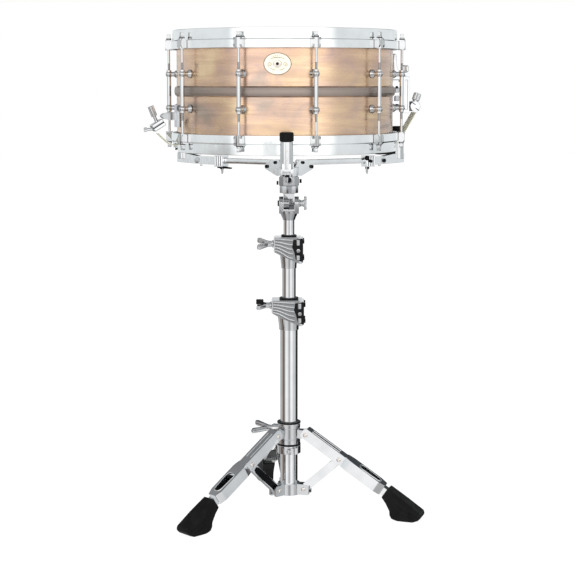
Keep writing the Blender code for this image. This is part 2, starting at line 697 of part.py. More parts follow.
def basket_grip(name, azimuth):
    """The sliding end of an arm: a channel, its clamp and the upright sleeve."""
    pivot_r, pivot_z = ARM_PIVOT
    base = Matrix.Translation((-pivot_r, 0, -pivot_z))
    channel = block((140 * MM, -6 * MM, 568 * MM), (217 * MM, 6 * MM, 581 * MM), 0.8 * MM)
    jaw = block((141 * MM, -8.5 * MM, 564.5 * MM), (158 * MM, 8.5 * MM, 583 * MM), 1.0 * MM)
    lip = block((158 * MM, -6.5 * MM, 563.5 * MM), (172 * MM, 6.5 * MM, 570 * MM), 0.8 * MM)
    sleeve = rod((GRIP_R, 0, 576 * MM), (GRIP_R, 0, 616.6 * MM), SLEEVE_R, 20)
    slot = block((130 * MM, -3.7 * MM, 569.6 * MM), (202 * MM, 3.7 * MM, 579.4 * MM))
    pieces = [channel, jaw, lip, sleeve]
    mesh = combined(f"basket_grip_{name}", pieces, [slot])
    mesh.transform(base)
    turn = (0, 0, facing(azimuth))
    part(f"basket_grip_{name}", mesh, "chrome", None, polar(azimuth, pivot_r, pivot_z), turn)


def grip_rubber(name, azimuth):
    """A soft cap on the sleeve, a strip down its inner side and the ledge the hoop rests on."""
    pivot_r, pivot_z = ARM_PIVOT
    base = Matrix.Translation((-pivot_r, 0, -pivot_z))
    cap = rod((GRIP_R, 0, 617.0 * MM), (GRIP_R, 0, 630.5 * MM), CAP_R, 20)
    bridge = block((195 * MM, -4.2 * MM, 617.0 * MM), (204 * MM, 4.2 * MM, 622 * MM))
    strip = block((195 * MM, -4.2 * MM, 583 * MM), (197.9 * MM, 4.2 * MM, 621 * MM))
    ledge = block((166 * MM, -8 * MM, 583.4 * MM), (197.9 * MM, 8 * MM, 593.6 * MM), 1.0 * MM)
    mesh = combined(f"grip_rubber_{name}", [cap, bridge, strip, ledge])
    mesh.transform(base)
    turn = (0, 0, facing(azimuth))
    part(f"grip_rubber_{name}", mesh, "rubber", None, polar(azimuth, pivot_r, pivot_z), turn)


# ---------------------------------------------------------------- tripod


def around(azimuth):
    return Matrix.Rotation(facing(azimuth), 4, "Z")


def bottom_collar():
    """The fixed collar at the mast's foot, with a clevis for each brace."""
    pieces = [ring(LOWER_R + 0.4 * MM, 18.5 * MM, LOWER_FOOT, 47 * MM)]
    slots = []
    for azimuth in LEG_AZIMUTHS.values():
        ears = block((16.5 * MM, -8.2 * MM, 29 * MM), (36.5 * MM, 8.2 * MM, 46.5 * MM), 1.5 * MM)
        slot = block((19.0 * MM, -4.4 * MM, 20 * MM), (40 * MM, 4.4 * MM, 60 * MM))
        pieces.append(moved(ears, around(azimuth)))
        slots.append(moved(slot, around(azimuth)))
    mesh = combined("bottom_collar", pieces, slots)
    part("bottom_collar", mesh, "chrome")


def leg_collar():
    """The sliding collar, with a tongue for each leg and a boss for its bolt."""
    pivot_r, pivot_z = LEG_PIVOT
    pieces = [ring(LOWER_R + 0.5 * MM, 18.6 * MM, 113 * MM, 147 * MM)]
    tongue = arc((pivot_r, pivot_z), 6.8 * MM, -90, 90) + [(16 * MM, pivot_z + 6.8 * MM)]
    tongue += [(16 * MM, pivot_z - 6.8 * MM)]
    for azimuth in LEG_AZIMUTHS.values():
        pieces.append(moved(plate(tongue, 6.9 * MM), around(azimuth)))
    boss = rod((16 * MM, 0, LEG_BOLT_Z), (27 * MM, 0, LEG_BOLT_Z), 7.5 * MM, 16)
    bore = rod((12 * MM, 0, LEG_BOLT_Z), (30 * MM, 0, LEG_BOLT_Z), BOLT_BORE_R, 12)
    pieces.append(moved(boss, around(LEG_BOLT_AZIMUTH)))
    inside = rod((0, 0, 100 * MM), (0, 0, 160 * MM), LOWER_R + 0.5 * MM, TUBE_STEPS)
    mesh = combined("leg_collar", pieces, [moved(bore, around(LEG_BOLT_AZIMUTH)), inside])
    part("leg_collar", mesh, "chrome")


def memory_lock():
    """The stop ring that the leg collar comes down on, with its key bolt."""
    body = ring(LOWER_R + 0.4 * MM, 19.3 * MM, 97 * MM, 110.5 * MM)
    lug_block = block((17 * MM, -6 * MM, 98.5 * MM), (24.5 * MM, 6 * MM, 109 * MM), 1.0 * MM)
    mesh = combined("memory_lock", [body, moved(lug_block, around(20.0))])
    part("memory_lock", mesh, "chrome")


def leg_mesh():
    """A channel, open underneath, that widens to a windowed lower half. +X runs down the leg."""
    wall = CHANNEL_WALL
    upper = [(-7.5 * MM, CHANNEL_FOOT + 3 * MM), (-4.5 * MM, CHANNEL_FOOT), (86 * MM, CHANNEL_FOOT)]
    upper += [(86 * MM, CHANNEL_TOP), (-3.5 * MM, CHANNEL_TOP), (-7.5 * MM, CHANNEL_TOP - 4 * MM)]
    wide = [(76 * MM, 9.4 * MM), (84 * MM, 12.5 * MM), (141 * MM, 12.5 * MM), (153 * MM, 8.6 * MM)]
    wide += [(153 * MM, -8.6 * MM), (141 * MM, -12.5 * MM), (84 * MM, -12.5 * MM), (76 * MM, -9.4 * MM)]
    lower = plate(wide, (CHANNEL_TOP + 1 * MM - CHANNEL_FOOT) / 2, "XY")
    moved(lower, Matrix.Translation((0, 0, (CHANNEL_TOP + 1 * MM + CHANNEL_FOOT) / 2)))
    neck = block((148 * MM, -7 * MM, -6 * MM), (LEG_END, 7 * MM, 7 * MM), 1.5 * MM)
    inner_half = CHANNEL_HALF - wall
    top_inside = CHANNEL_TOP - wall
    upper_room = block((-12 * MM, -inner_half, -20 * MM), (90 * MM, inner_half, top_inside))
    lower_room = block((80 * MM, -10.6 * MM, -20 * MM), (142 * MM, 10.6 * MM, top_inside))
    window = arc((109.5 * MM, 0), 8.8 * MM, 90, 270, 8) + arc((136 * MM, 0), 7.0 * MM, -90, 90, 8)
    opening = moved(plate(window, 12 * MM, "XY"), Matrix.Translation((0, 0, 10 * MM)))
    pieces = [plate(upper, CHANNEL_HALF), lower, neck]
    return combined("leg", pieces, [upper_room, lower_room, opening])


def legs():
    mesh = leg_mesh()
    pivot_r, pivot_z = LEG_PIVOT
    for name, azimuth in LEG_AZIMUTHS.items():
        place = polar(azimuth, pivot_r, pivot_z)
        part(f"leg_{name}", mesh, "chrome", None, place, (0, math.radians(LEG_SLOPE), facing(azimuth)))


def foot_mesh():
    """A rubber shoe, flat where it stands on the floor. Its frame is the leg plane, r and z."""
    outline = [(171 * MM, 53 * MM), (225.5 * MM, 15 * MM), (226.5 * MM, 9 * MM), (221 * MM, 3.5 * MM)]
    outline += [(212 * MM, 0.0), (186 * MM, 0.0), (177 * MM, 2.5 * MM), (174 * MM, 8 * MM)]
    outline += [(173.5 * MM, 15 * MM), (167 * MM, 27 * MM), (160 * MM, 37 * MM)]
    body = plate(outline, 13.5 * MM)
    return combined("foot", [body])


def feet():
    mesh = foot_mesh()
    for name, azimuth in LEG_AZIMUTHS.items():
        part(f"foot_{name}", mesh, "rubber", rotation=(0, 0, facing(azimuth)))


def rivet_point():
    """Where leg and brace cross, as (radius, height)."""
    slope = math.radians(LEG_SLOPE)
    pivot_r, pivot_z = LEG_PIVOT
    return pivot_r + RIVET_ALONG_LEG * math.cos(slope), pivot_z - RIVET_ALONG_LEG * math.sin(slope)


def braces():
    """Flat struts between the bottom collar and the legs, each in its own frame at its lower pin."""
    pivot_r, pivot_z = BRACE_PIVOT
    rivet_r, rivet_z = rivet_point()
    length = math.hypot(rivet_r - pivot_r, rivet_z - pivot_z)
    rise = math.atan2(rivet_z - pivot_z, rivet_r - pivot_r)
    outline = arc((0, 0), BRACE_HALF_WIDTH, 90, 270)
    outline += [(length - BRACE_TAPER, -BRACE_HALF_WIDTH)]
    outline += arc((length, 0), BRACE_TIP_R, -90, 90)
    outline += [(length - BRACE_TAPER, BRACE_HALF_WIDTH)]
    mesh = combined("brace", [plate(outline, 4.0 * MM)])
    for name, azimuth in LEG_AZIMUTHS.items():
        place = polar(azimuth, pivot_r, pivot_z)
        part(f"brace_{name}", mesh, "chrome", None, place, (0, -rise, facing(azimuth)))


# ---------------------------------------------------------------- build

clear_scene()
PARTS = collection("snare_drum_on_stand")
HELPERS = collection("helpers")
MAST = empty("mast_axis", (MAST_X, MAST_Y, 0.0))
MAST.scale = (STAND_SCALE, STAND_SCALE, STAND_SCALE)
DRUM = empty("drum_centre", (MAST_X + DRUM_OFFSET, MAST_Y, DRUM_Z))

shell()
badge()
head("batter_head", "coated_film", 1)
head("snare_head", "clear_film", -1)
batter_hoop()
snare_hoop()
lugs()
throw_off_base()
throw_off_lever()
throw_off_slider()
strap_clamp()
tension_knob()
strap("throw_off_strap", THROW_AZIMUTH, (224.6 * MM, -35.7 * MM))
strap("butt_strap", BUTT_AZIMUTH, (212.5 * MM, -67.6 * MM))
snare_wires()
butt()

mast_tube("lower_tube", LOWER_R, LOWER_BORE_R, LOWER_FOOT, LOWER_TOP)
mast_tube("middle_tube", MIDDLE_R, MIDDLE_BORE_R, MIDDLE_FOOT, MIDDLE_TOP)
upper_tube()
lower_clamp()
upper_clamp()
wing_bolts()
tilter()
basket_nut()
basket_hub()
for arm_name, arm_azimuth in ARM_AZIMUTHS.items():
    basket_arm(arm_name, arm_azimuth)
    basket_grip(arm_name, arm_azimuth)
    grip_rubber(arm_name, arm_azimuth)

bottom_collar()
leg_collar()
memory_lock()
legs()
feet()
braces()
bpy.context.view_layer.update()
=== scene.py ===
"""The looks of a snare drum on its folding tripod stand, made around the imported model.

Metres, +Z up. Azimuths are in degrees from the front (-Y) towards +X. Pieces of the drum are made with
+X pointing outwards and z from the middle of the shell; pieces of the stand have z from the floor.
"""

import math

import bmesh
import bpy
from mathutils import Matrix, Vector

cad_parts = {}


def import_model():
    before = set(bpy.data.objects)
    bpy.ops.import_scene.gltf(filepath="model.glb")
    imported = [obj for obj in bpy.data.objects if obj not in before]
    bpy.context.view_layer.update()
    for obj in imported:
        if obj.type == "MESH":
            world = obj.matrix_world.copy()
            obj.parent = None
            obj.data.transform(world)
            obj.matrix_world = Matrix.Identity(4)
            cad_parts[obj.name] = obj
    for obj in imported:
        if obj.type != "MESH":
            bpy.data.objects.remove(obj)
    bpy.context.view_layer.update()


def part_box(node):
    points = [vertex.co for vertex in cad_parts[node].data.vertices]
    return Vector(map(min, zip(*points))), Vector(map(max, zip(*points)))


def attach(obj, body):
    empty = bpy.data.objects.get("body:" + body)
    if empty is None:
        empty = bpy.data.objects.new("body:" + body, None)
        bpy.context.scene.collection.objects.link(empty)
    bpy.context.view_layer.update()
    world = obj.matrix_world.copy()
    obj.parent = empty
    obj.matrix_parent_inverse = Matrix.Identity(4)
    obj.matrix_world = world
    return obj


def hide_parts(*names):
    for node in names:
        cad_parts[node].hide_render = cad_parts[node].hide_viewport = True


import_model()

MM = 0.001
SMOOTH_BELOW = math.radians(38)
GAP = 0.35 * MM

# Drum
SHELL_R = 177.8 * MM
SHELL_HALF = 82.5 * MM
FILM_Z = 83.4 * MM
ROD_CIRCLE_R = 192.1 * MM
LUG_POST_Z = 27.5 * MM
LUG_COUNT = 10
FIRST_LUG = -93.5
BADGE_AZIMUTH = -3.5
BADGE_Z = 42.5 * MM
THROW_AZIMUTH = 104.5
BUTT_AZIMUTH = -75.5
WIRE_COUNT = 20
DRUM_STEPS = 192

# Stand, whose own dimensions are for its nominal size
STAND_SCALE = 1.028
LEG_AZIMUTHS = {"left": -47.5, "right": 72.5, "rear": 192.5}
LEG_PIVOT = (31.0 * MM, 130.0 * MM)
LEG_SLOPE = 33.0
RIVET_ALONG_LEG = 68.0 * MM
BRACE_PIVOT = (27.0 * MM, 38.5 * MM)
ARM_AZIMUTHS = {"front": -1.0, "right": 118.5, "left": -121.5}
GRIP_R = 208.0 * MM
TILT_Z = 509.0 * MM
LOWER_BOLT_Z = 342.0 * MM
UPPER_BOLT_Z = 443.0 * MM
LEG_BOLT_Z = 136.0 * MM
LEG_BOLT_AZIMUTH = -107.5


def mm(*sizes):
    """Sizes given in millimetres, in the frame's metres."""
    return tuple(size * MM for size in sizes)


def in_mm(outline):
    return [mm(*point) for point in outline]


def middle(node):
    low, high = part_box(node)
    return (low + high) / 2


AXIS = middle("lower_tube")
MAST = Matrix.Translation((AXIS.x, AXIS.y, 0.0)) @ Matrix.Scale(STAND_SCALE, 4)
DRUM = Matrix.Translation(middle("shell"))


def around(azimuth, base=MAST):
    """The frame whose +X points outwards at this azimuth."""
    return base @ Matrix.Rotation(math.radians(azimuth - 90.0), 4, "Z")


def turn(degrees, axis):
    return Matrix.Rotation(math.radians(degrees), 4, axis)


def shift(x, y, z):
    return Matrix.Translation((x, y, z))


# ---------------------------------------------------------------- outlines and meshes


def fillet(outline, radius=0.0, steps=4):
    """A closed outline with its corners rounded. A point's third value is that corner's own radius."""
    made = []
    for index, point in enumerate(outline):
        here = Vector(point[:2])
        back = Vector(outline[index - 1][:2]) - here
        ahead = Vector(outline[(index + 1) % len(outline)][:2]) - here
        size = point[2] if len(point) > 2 else radius
        angle = back.angle(ahead)
        if size <= 0 or angle > math.radians(178):
            made.append(tuple(here))
            continue
        reach = min(size / math.tan(angle / 2), 0.48 * back.length, 0.48 * ahead.length)
        start = here + back.normalized() * reach
        end = here + ahead.normalized() * reach
        for step in range(steps + 1):
            t = step / steps
            made.append(tuple(start * (1 - t) ** 2 + here * 2 * t * (1 - t) + end * t * t))
    return made


def rounded(outline, steps):
    """An outline in millimetres whose points may each carry their own corner radius."""
    return fillet(in_mm(outline), 0, steps)


def arc(centre, radius, start, end, steps=10):
    """Points of an arc, angles in degrees."""
    turns = [math.radians(start + (end - start) * i / steps) for i in range(steps + 1)]
    return [(centre[0] + radius * math.cos(t), centre[1] + radius * math.sin(t)) for t in turns]


def wavy(radius, depth, teeth):
    """The outline of a knurled or fluted disc."""
    count = 4 * teeth
    sizes = [radius - depth * (0.5 - 0.5 * math.cos(math.tau * i / 4)) for i in range(count)]
    return [
        (size * math.cos(math.tau * i / count), size * math.sin(math.tau * i / count))
        for i, size in enumerate(sizes)
    ]


def smooth(mesh):
    mesh.shade_smooth()
    mesh.set_sharp_from_angle(angle=SMOOTH_BELOW)
    return mesh


def finished(bm):
    """The bmesh as a smooth-shaded mesh, without stray geometry."""
    bmesh.ops.remove_doubles(bm, verts=bm.verts, dist=0.002 * MM)
    bmesh.ops.dissolve_degenerate(bm, dist=0.002 * MM, edges=bm.edges)
    bmesh.ops.delete(bm, geom=[e for e in bm.edges if not e.link_faces], context="EDGES")
    bmesh.ops.delete(bm, geom=[v for v in bm.verts if not v.link_faces], context="VERTS")
    bmesh.ops.recalc_face_normals(bm, faces=bm.faces)
    mesh = bpy.data.meshes.new("mesh")
    bm.to_mesh(mesh)
    bm.free()
    return smooth(mesh)


def moved(mesh, place):
    mesh.transform(place)
    return mesh


def joined(*meshes):
    """One mesh that holds several separate bodies."""
    bm = bmesh.new()
    for mesh in meshes:
        bm.from_mesh(mesh)
    whole = bpy.data.meshes.new("mesh")
    bm.to_mesh(whole)
    bm.free()
    return smooth(whole)


def lathe(outline, steps=64):
    """A closed outline of (radius, height) points turned about Z."""
    bm = bmesh.new()
    verts = [bm.verts.new((max(radius, 0.0), 0.0, height)) for radius, height in outline]
    edges = [bm.edges.new((verts[i - 1], verts[i])) for i in range(len(verts))]
    bmesh.ops.spin(
        bm,
        geom=verts + edges,
        cent=(0, 0, 0),
        axis=(0, 0, 1),
        angle=math.tau,
        steps=steps,
        use_merge=True,
    )
    return finished(bm)


def bar(low, high, edge=0.6 * MM, segments=3):
    """A box with rounded edges."""
    low = Vector(low)
    high = Vector(high)
    bm = bmesh.new()
    place = Matrix.Translation((low + high) / 2) @ Matrix.Diagonal((*(high - low), 1.0))
    bmesh.ops.create_cube(bm, size=1.0, matrix=place)
    bmesh.ops.bevel(bm, geom=bm.edges[:], offset=edge, segments=segments, profile=0.5, affect="EDGES")
    return finished(bm)


def ball(centre, radius, squash=1.0):
    bm = bmesh.new()
    place = Matrix.Translation(centre) @ Matrix.Diagonal((squash, 1.0, 1.0, 1.0))
    bmesh.ops.create_uvsphere(bm, u_segments=32, v_segments=18, radius=radius, matrix=place)
    return finished(bm)


def along(start, end):
    """The frame that carries the Z axis onto the line from start to end."""
    start = Vector(start)
    end = Vector(end)
    return Matrix.Translation(start) @ (end - start).to_track_quat("Z", "Y").to_matrix().to_4x4()


def pin(start, end, radius, end_radius=None, edge=0.5 * MM, steps=40):
    """A round bar or cone from start to end, with softened rims."""
    length = (Vector(end) - Vector(start)).length
    far = radius if end_radius is None else end_radius
    outline = fillet([(0, 0, 0), (radius, 0), (far, length), (0, length, 0)], edge, 3)
    return moved(lathe(outline, steps), along(start, end))


def plate(outlines, thickness, edge=0.4 * MM, plane="XZ"):
    """A flat outline, or an outline and its holes, given thickness and rounded edges."""
    loops = outlines if isinstance(outlines[0], list) else [outlines]
    curve = bpy.data.curves.new("outline", "CURVE")
    curve.dimensions = "2D"
    curve.fill_mode = "BOTH"
    curve.extrude = thickness / 2 - edge
    curve.bevel_depth = edge
    curve.bevel_resolution = 1
    curve.offset = -edge
    for loop in loops:
        spline = curve.splines.new("POLY")
        spline.points.add(len(loop) - 1)
        for point, (across, up) in zip(spline.points, loop):
            point.co = (across, up, 0.0, 1.0)
        spline.use_cyclic_u = True
    planes = {"XZ": turn(90, "X"), "YZ": turn(90, "Z") @ turn(90, "X"), "XY": shift(0, 0, 0)}
    return moved(from_curve(curve), planes[plane])


def from_curve(curve):
    obj = bpy.data.objects.new("curve", curve)
    bpy.context.scene.collection.objects.link(obj)
    mesh = bpy.data.meshes.new_from_object(obj.evaluated_get(bpy.context.evaluated_depsgraph_get()))
    bpy.data.objects.remove(obj)
    bm = bmesh.new()
    bm.from_mesh(mesh)
    return finished(bm)


def wire(points, radius, closed=False, smooth=True, sides=3):
    """A round wire through the points."""
    curve = bpy.data.curves.new("wire", "CURVE")
    curve.dimensions = "3D"
    curve.bevel_depth = radius
    curve.bevel_resolution = sides
    curve.use_fill_caps = not closed
    spline = curve.splines.new("NURBS" if smooth else "POLY")
    spline.points.add(len(points) - 1)
    for point, place in zip(spline.points, points):
        point.co = (*place, 1.0)
    if smooth:
        spline.order_u = 3
        spline.use_endpoint_u = True
        curve.resolution_u = 6
    spline.use_cyclic_u = closed
    return from_curve(curve)


def cast(pieces, cuts=(), shared=(), edge=0.6 * MM, segments=2):
    """Pieces joined into one casting, cut, and softened along its edges."""
    scratch = []
    for mesh in [*pieces, *cuts, *shared]:
        obj = bpy.data.objects.new("scratch", mesh)
        bpy.context.scene.collection.objects.link(obj)
        scratch.append(obj)
    base = scratch[0]
    kinds = ["UNION"] * (len(pieces) - 1) + ["DIFFERENCE"] * len(cuts) + ["INTERSECT"] * len(shared)
    for other, kind in zip(scratch[1:], kinds):
        boolean = base.modifiers.new(kind.lower(), "BOOLEAN")
        boolean.operation = kind
        boolean.solver = "EXACT"
        boolean.object = other
    if edge:
        bevel = base.modifiers.new("bevel", "BEVEL")
        bevel.width = edge
        bevel.segments = segments
        bevel.limit_method = "ANGLE"
        bevel.angle_limit = math.radians(40)
    bpy.context.view_layer.update()
    mesh = bpy.data.meshes.new_from_object(base.evaluated_get(bpy.context.evaluated_depsgraph_get()))
    for obj in scratch:
        bpy.data.objects.remove(obj)
    return smooth(mesh)


def flat_block(low, high):
    """A box with sharp edges, for a cutter or for a casting that is softened later."""
    low = Vector(low)
    high = Vector(high)
    bm = bmesh.new()
    place = Matrix.Translation((low + high) / 2) @ Matrix.Diagonal((*(high - low), 1.0))
    bmesh.ops.create_cube(bm, size=1.0, matrix=place)
    return finished(bm)


def flat_plate(outline, thickness, plane="XZ"):
    return plate(outline, thickness, 0.0, plane)


def piece(name, mesh, look, body, where=MAST, replaces=()):
    """A finished piece that rides on a body of the frame."""
    obj = bpy.data.objects.new(name, mesh)
    bpy.context.scene.collection.objects.link(obj)
    if not mesh.materials:
        mesh.materials.append(look)
    obj.matrix_world = where
    flatter = obj.modifiers.new("flat_faces_stay_flat", "WEIGHTED_NORMAL")
    flatter.keep_sharp = True
    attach(obj, body)
    if replaces:
        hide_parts(*([replaces] if isinstance(replaces, str) else replaces))
    return obj


# ---------------------------------------------------------------- materials


class Nodes:
    """Short ways to add nodes to a tree."""

    def __init__(self, tree):
        self.nodes = tree.nodes
        self.links = tree.links

    def feed(self, socket, value):
        """A link, a number or a colour into a socket."""
        if isinstance(value, (int, float)):
            socket.default_value = value
        elif isinstance(value, tuple):
            socket.default_value = (*value, 1.0)
        else:
            self.links.new(value, socket)

    def math(self, operation, *values):
        node = self.nodes.new("ShaderNodeMath")
        node.operation = operation
        for socket, value in zip(node.inputs, values):
            self.feed(socket, value)
        return node.outputs["Value"]

    def ramp(self, source, stops):
        """Stops are (position, colour or grey)."""
        node = self.nodes.new("ShaderNodeValToRGB")
        elements = node.color_ramp.elements
        while len(elements) < len(stops):
            elements.new(0.5)
        for element, (position, colour) in zip(elements, stops):
            element.position = position
            element.color = (*colour, 1.0) if isinstance(colour, tuple) else (colour, colour, colour, 1.0)
        self.feed(node.inputs["Fac"], source)
        return node.outputs["Color"]

    def mix(self, factor, first, second, blend="MIX"):
        node = self.nodes.new("ShaderNodeMix")
        node.data_type = "RGBA"
        node.blend_type = blend
        for name, value in (("Factor", factor), ("A", first), ("B", second)):
            self.feed(next(s for s in node.inputs if s.name == name and s.enabled), value)
        return next(s for s in node.outputs if s.enabled)


class Look(Nodes):
    """A material under construction, with its shader."""

    def __init__(self, name, colour, roughness, metallic=0.0):
        self.material = bpy.data.materials.new(name)
        self.material.use_nodes = True
        super().__init__(self.material.node_tree)
        self.shader = self.nodes["Principled BSDF"]
        self.set("Base Color", (*colour, 1.0))
        self.set("Roughness", roughness)
        self.set("Metallic", metallic)
        self.place = self.nodes.new("ShaderNodeTexCoord").outputs["Object"]

    def set(self, socket, value):
        self.shader.inputs[socket].default_value = value

    def drive(self, socket, source):
        self.feed(self.shader.inputs[socket], source)

    def stretched(self, x, y, z):
        node = self.nodes.new("ShaderNodeMapping")
        node.inputs["Scale"].default_value = (x, y, z)
        self.feed(node.inputs["Vector"], self.place)
        return node.outputs["Vector"]

    def noise(self, scale, detail=3.0, place=None, distortion=0.0):
        node = self.nodes.new("ShaderNodeTexNoise")
        node.inputs["Scale"].default_value = scale
        node.inputs["Detail"].default_value = detail
        node.inputs["Distortion"].default_value = distortion
        self.feed(node.inputs["Vector"], place or self.place)
        return node.outputs["Fac"]

    def height(self):
        """The z of the surface in its own frame, in metres."""
        node = self.nodes.new("ShaderNodeSeparateXYZ")
        self.feed(node.inputs["Vector"], self.place)
        return node.outputs["Z"]

    def bump(self, source, strength, distance=0.0005):
        node = self.nodes.new("ShaderNodeBump")
        node.inputs["Strength"].default_value = strength
        node.inputs["Distance"].default_value = distance
        self.feed(node.inputs["Height"], source)
        self.drive("Normal", node.outputs["Normal"])


def chrome(name, colour, low, high, grain=420.0, wave=0.03):
    """Polished plate: fine haze and wipe marks in the gloss, and a faint ripple in the surface."""
    look = Look(name, colour, low, 1.0)
    haze = look.noise(grain, 4.0, look.stretched(1.0, 1.0, 0.25))
    look.drive("Roughness", look.ramp(haze, [(0.35, low), (0.75, high)]))
    smudge = look.noise(38.0, 2.0)
    tint = tuple(0.90 * value for value in colour)
    look.drive("Base Color", look.ramp(smudge, [(0.38, colour), (0.72, tint)]))
    look.bump(look.noise(90.0, 2.0), wave)
    return look.material


def copper():
    """Rubbed copper patina: long streaks round the shell, cloudy patches and a dark bead."""
    look = Look("copper_patina", (0.70, 0.45, 0.32), 0.3, 1.0)
    cloud = look.noise(13.0, 5.0, look.stretched(1.0, 1.0, 1.7), 0.6)
    patches = look.ramp(
        cloud,
        [
            (0.30, (0.52, 0.41, 0.36)),
            (0.42, (0.68, 0.48, 0.40)),
            (0.56, (0.80, 0.56, 0.40)),
            (0.72, (0.90, 0.69, 0.46)),
        ],
    )
    streaks = look.noise(7.0, 8.0, look.stretched(1.0, 1.0, 14.0), 0.8)
    rubbed = look.mix(0.45, patches, look.ramp(streaks, [(0.30, 0.70), (0.60, 1.0)]), "MULTIPLY")
    low_side = look.ramp(
        look.math("MULTIPLY_ADD", look.height(), -6.0), [(0.0, (1.0, 0.93, 0.90)), (0.4, (1.0, 1.0, 0.92))]
    )
    warm = look.mix(0.8, rubbed, low_side, "MULTIPLY")
    spots = look.ramp(look.noise(26.0, 4.0, None, 1.2), [(0.66, 0.0), (0.76, 1.0)])
    spotted = look.mix(look.math("MULTIPLY", spots, 0.5), warm, (0.24, 0.19, 0.17))
    from_bead = look.math("ABSOLUTE", look.height())
    bead = look.ramp(look.math("MULTIPLY", from_bead, 100.0), [(0.66, 1.0), (0.76, 0.0)])
    look.drive("Base Color", look.mix(look.math("MULTIPLY", bead, 0.86), spotted, (0.36, 0.315, 0.29)))
    gloss = look.ramp(streaks, [(0.3, 0.34), (0.7, 0.22)])
    look.drive("Roughness", look.mix(bead, gloss, (0.55, 0.55, 0.55)))
    look.set("Coat Weight", 0.35)
    look.set("Coat Roughness", 0.08)
    look.bump(look.noise(30.0, 3.0, look.stretched(1.0, 1.0, 20.0)), 0.08)
    return look.material


def enamel():
    look = Look("badge_enamel", (0.88, 0.84, 0.70), 0.28)
    look.drive(
        "Base Color",
        look.ramp(look.noise(160.0, 3.0), [(0.3, (0.90, 0.87, 0.74)), (0.75, (0.80, 0.75, 0.60))]),
    )
    look.bump(look.noise(500.0, 2.0), 0.06, 0.0002)
    look.set("Coat Weight", 0.5)
    return look.material


def gold(name, colour, roughness):
    look = Look(name, colour, roughness, 1.0)
    look.drive("Roughness", look.ramp(look.noise(900.0, 3.0), [(0.3, roughness), (0.8, roughness + 0.2)]))
    look.bump(look.noise(700.0, 2.0), 0.08, 0.0002)
    return look.material


def coated_film():
    """A sprayed white coating: fine grain, a clear rim where the spray stops, and faint stick marks."""
    look = Look("coated_film", (0.86, 0.85, 0.82), 0.62)
    length = look.nodes.new("ShaderNodeVectorMath")
    length.operation = "LENGTH"
    look.feed(length.inputs[0], look.place)
    from_middle = look.math("MULTIPLY", length.outputs["Value"], 5.0)
    rim = look.ramp(from_middle, [(0.955, 0.0), (0.962, 1.0)])
    worn = look.ramp(
        look.noise(34.0, 5.0, None, 0.8), [(0.50, (0.87, 0.86, 0.84)), (0.75, (0.74, 0.73, 0.70))]
    )
    inner = look.ramp(from_middle, [(0.15, 1.0), (0.55, 0.0)])
    marked = look.mix(look.math("MULTIPLY", inner, 0.8), (0.87, 0.86, 0.84), worn)
    look.drive("Base Color", look.mix(rim, marked, (0.66, 0.67, 0.66)))
    look.drive("Roughness", look.ramp(from_middle, [(0.955, 0.62), (0.962, 0.3)]))
    look.bump(look.noise(1500.0, 3.0), 0.25, 0.0002)
    return look.material


def clear_film():
    look = Look("clear_film", (0.82, 0.83, 0.83), 0.18)
    look.set("Alpha", 0.62)
    look.set("IOR", 1.5)
    look.drive("Roughness", look.ramp(look.noise(60.0, 4.0), [(0.3, 0.12), (0.8, 0.34)]))
    look.bump(look.noise(40.0, 2.0), 0.04)
    return look.material


def rubber(name, colour, roughness, grain=900.0, depth=0.3):
    """Moulded rubber or nylon: a fine grain, paler dust in patches and uneven sheen."""
    look = Look(name, colour, roughness)
    dust = tuple(value * 2.0 + 0.003 for value in colour)
    look.drive("Base Color", look.ramp(look.noise(55.0, 5.0), [(0.45, colour), (0.85, dust)]))
    look.drive(
        "Roughness", look.ramp(look.noise(120.0, 3.0), [(0.3, roughness - 0.08), (0.75, roughness + 0.12)])
    )
    look.set("Specular IOR Level", 0.14)
    look.bump(look.noise(grain, 3.0), depth, 0.0002)
    return look.material


def strap_plastic():
    look = Look("strap_plastic", (0.66, 0.64, 0.36), 0.25)
    look.drive(
        "Base Color",
        look.ramp(look.noise(80.0, 3.0), [(0.3, (0.86, 0.85, 0.70)), (0.8, (0.76, 0.74, 0.52))]),
    )
    look.set("Alpha", 0.72)
    look.set("Coat Weight", 0.4)
    look.bump(look.noise(300.0, 2.0), 0.05, 0.0002)
    return look.material


def drawn_wire():
    look = Look("drawn_wire", (0.72, 0.72, 0.74), 0.22, 1.0)
    look.drive("Roughness", look.ramp(look.noise(1200.0, 3.0), [(0.3, 0.16), (0.8, 0.36)]))
    look.bump(look.noise(2000.0, 2.0), 0.1, 0.0001)
    return look.material


COPPER = copper()
HOOP_CHROME = chrome("hoop_chrome", (0.90, 0.915, 0.92), 0.05, 0.11, 260.0, 0.02)
LUG_CHROME = chrome("lug_chrome", (0.58, 0.585, 0.59), 0.04, 0.09)
TUBE_CHROME = chrome("tube_chrome", (0.86, 0.87, 0.88), 0.03, 0.08, 300.0, 0.015)
CAST_CHROME = chrome("cast_chrome", (0.64, 0.65, 0.66), 0.06, 0.13, 500.0, 0.02)
HINGE_CHROME = chrome("hinge_chrome", (0.44, 0.45, 0.46), 0.06, 0.13, 500.0, 0.02)
SMOKED_CHROME = chrome("smoked_chrome", (0.42, 0.43, 0.44), 0.10, 0.20)
# Dark grey for thin wires and bars that paint the shade in grooves, slots and gaps.
PAINTED_GROOVE_SHADE = chrome("groove_shade", (0.20, 0.20, 0.21), 0.3, 0.5)
STEEL_CHROME = chrome("pressed_chrome", (0.86, 0.87, 0.88), 0.05, 0.13, 350.0, 0.05)
# Near-black chrome for the black bolts and nuts, and for dark sheets that paint the shade inside the leg and
# strut channels.
DARK_STEEL_AND_CHANNEL_SHADE = chrome("black_bolts_and_channel_shade", (0.018, 0.018, 0.020), 0.18, 0.34)
ALUMINIUM = chrome("flesh_hoop_metal", (0.72, 0.72, 0.72), 0.28, 0.42)
WIRE = drawn_wire()
ENAMEL = enamel()
BADGE_GOLD = gold("badge_gold", (0.50, 0.37, 0.20), 0.32)
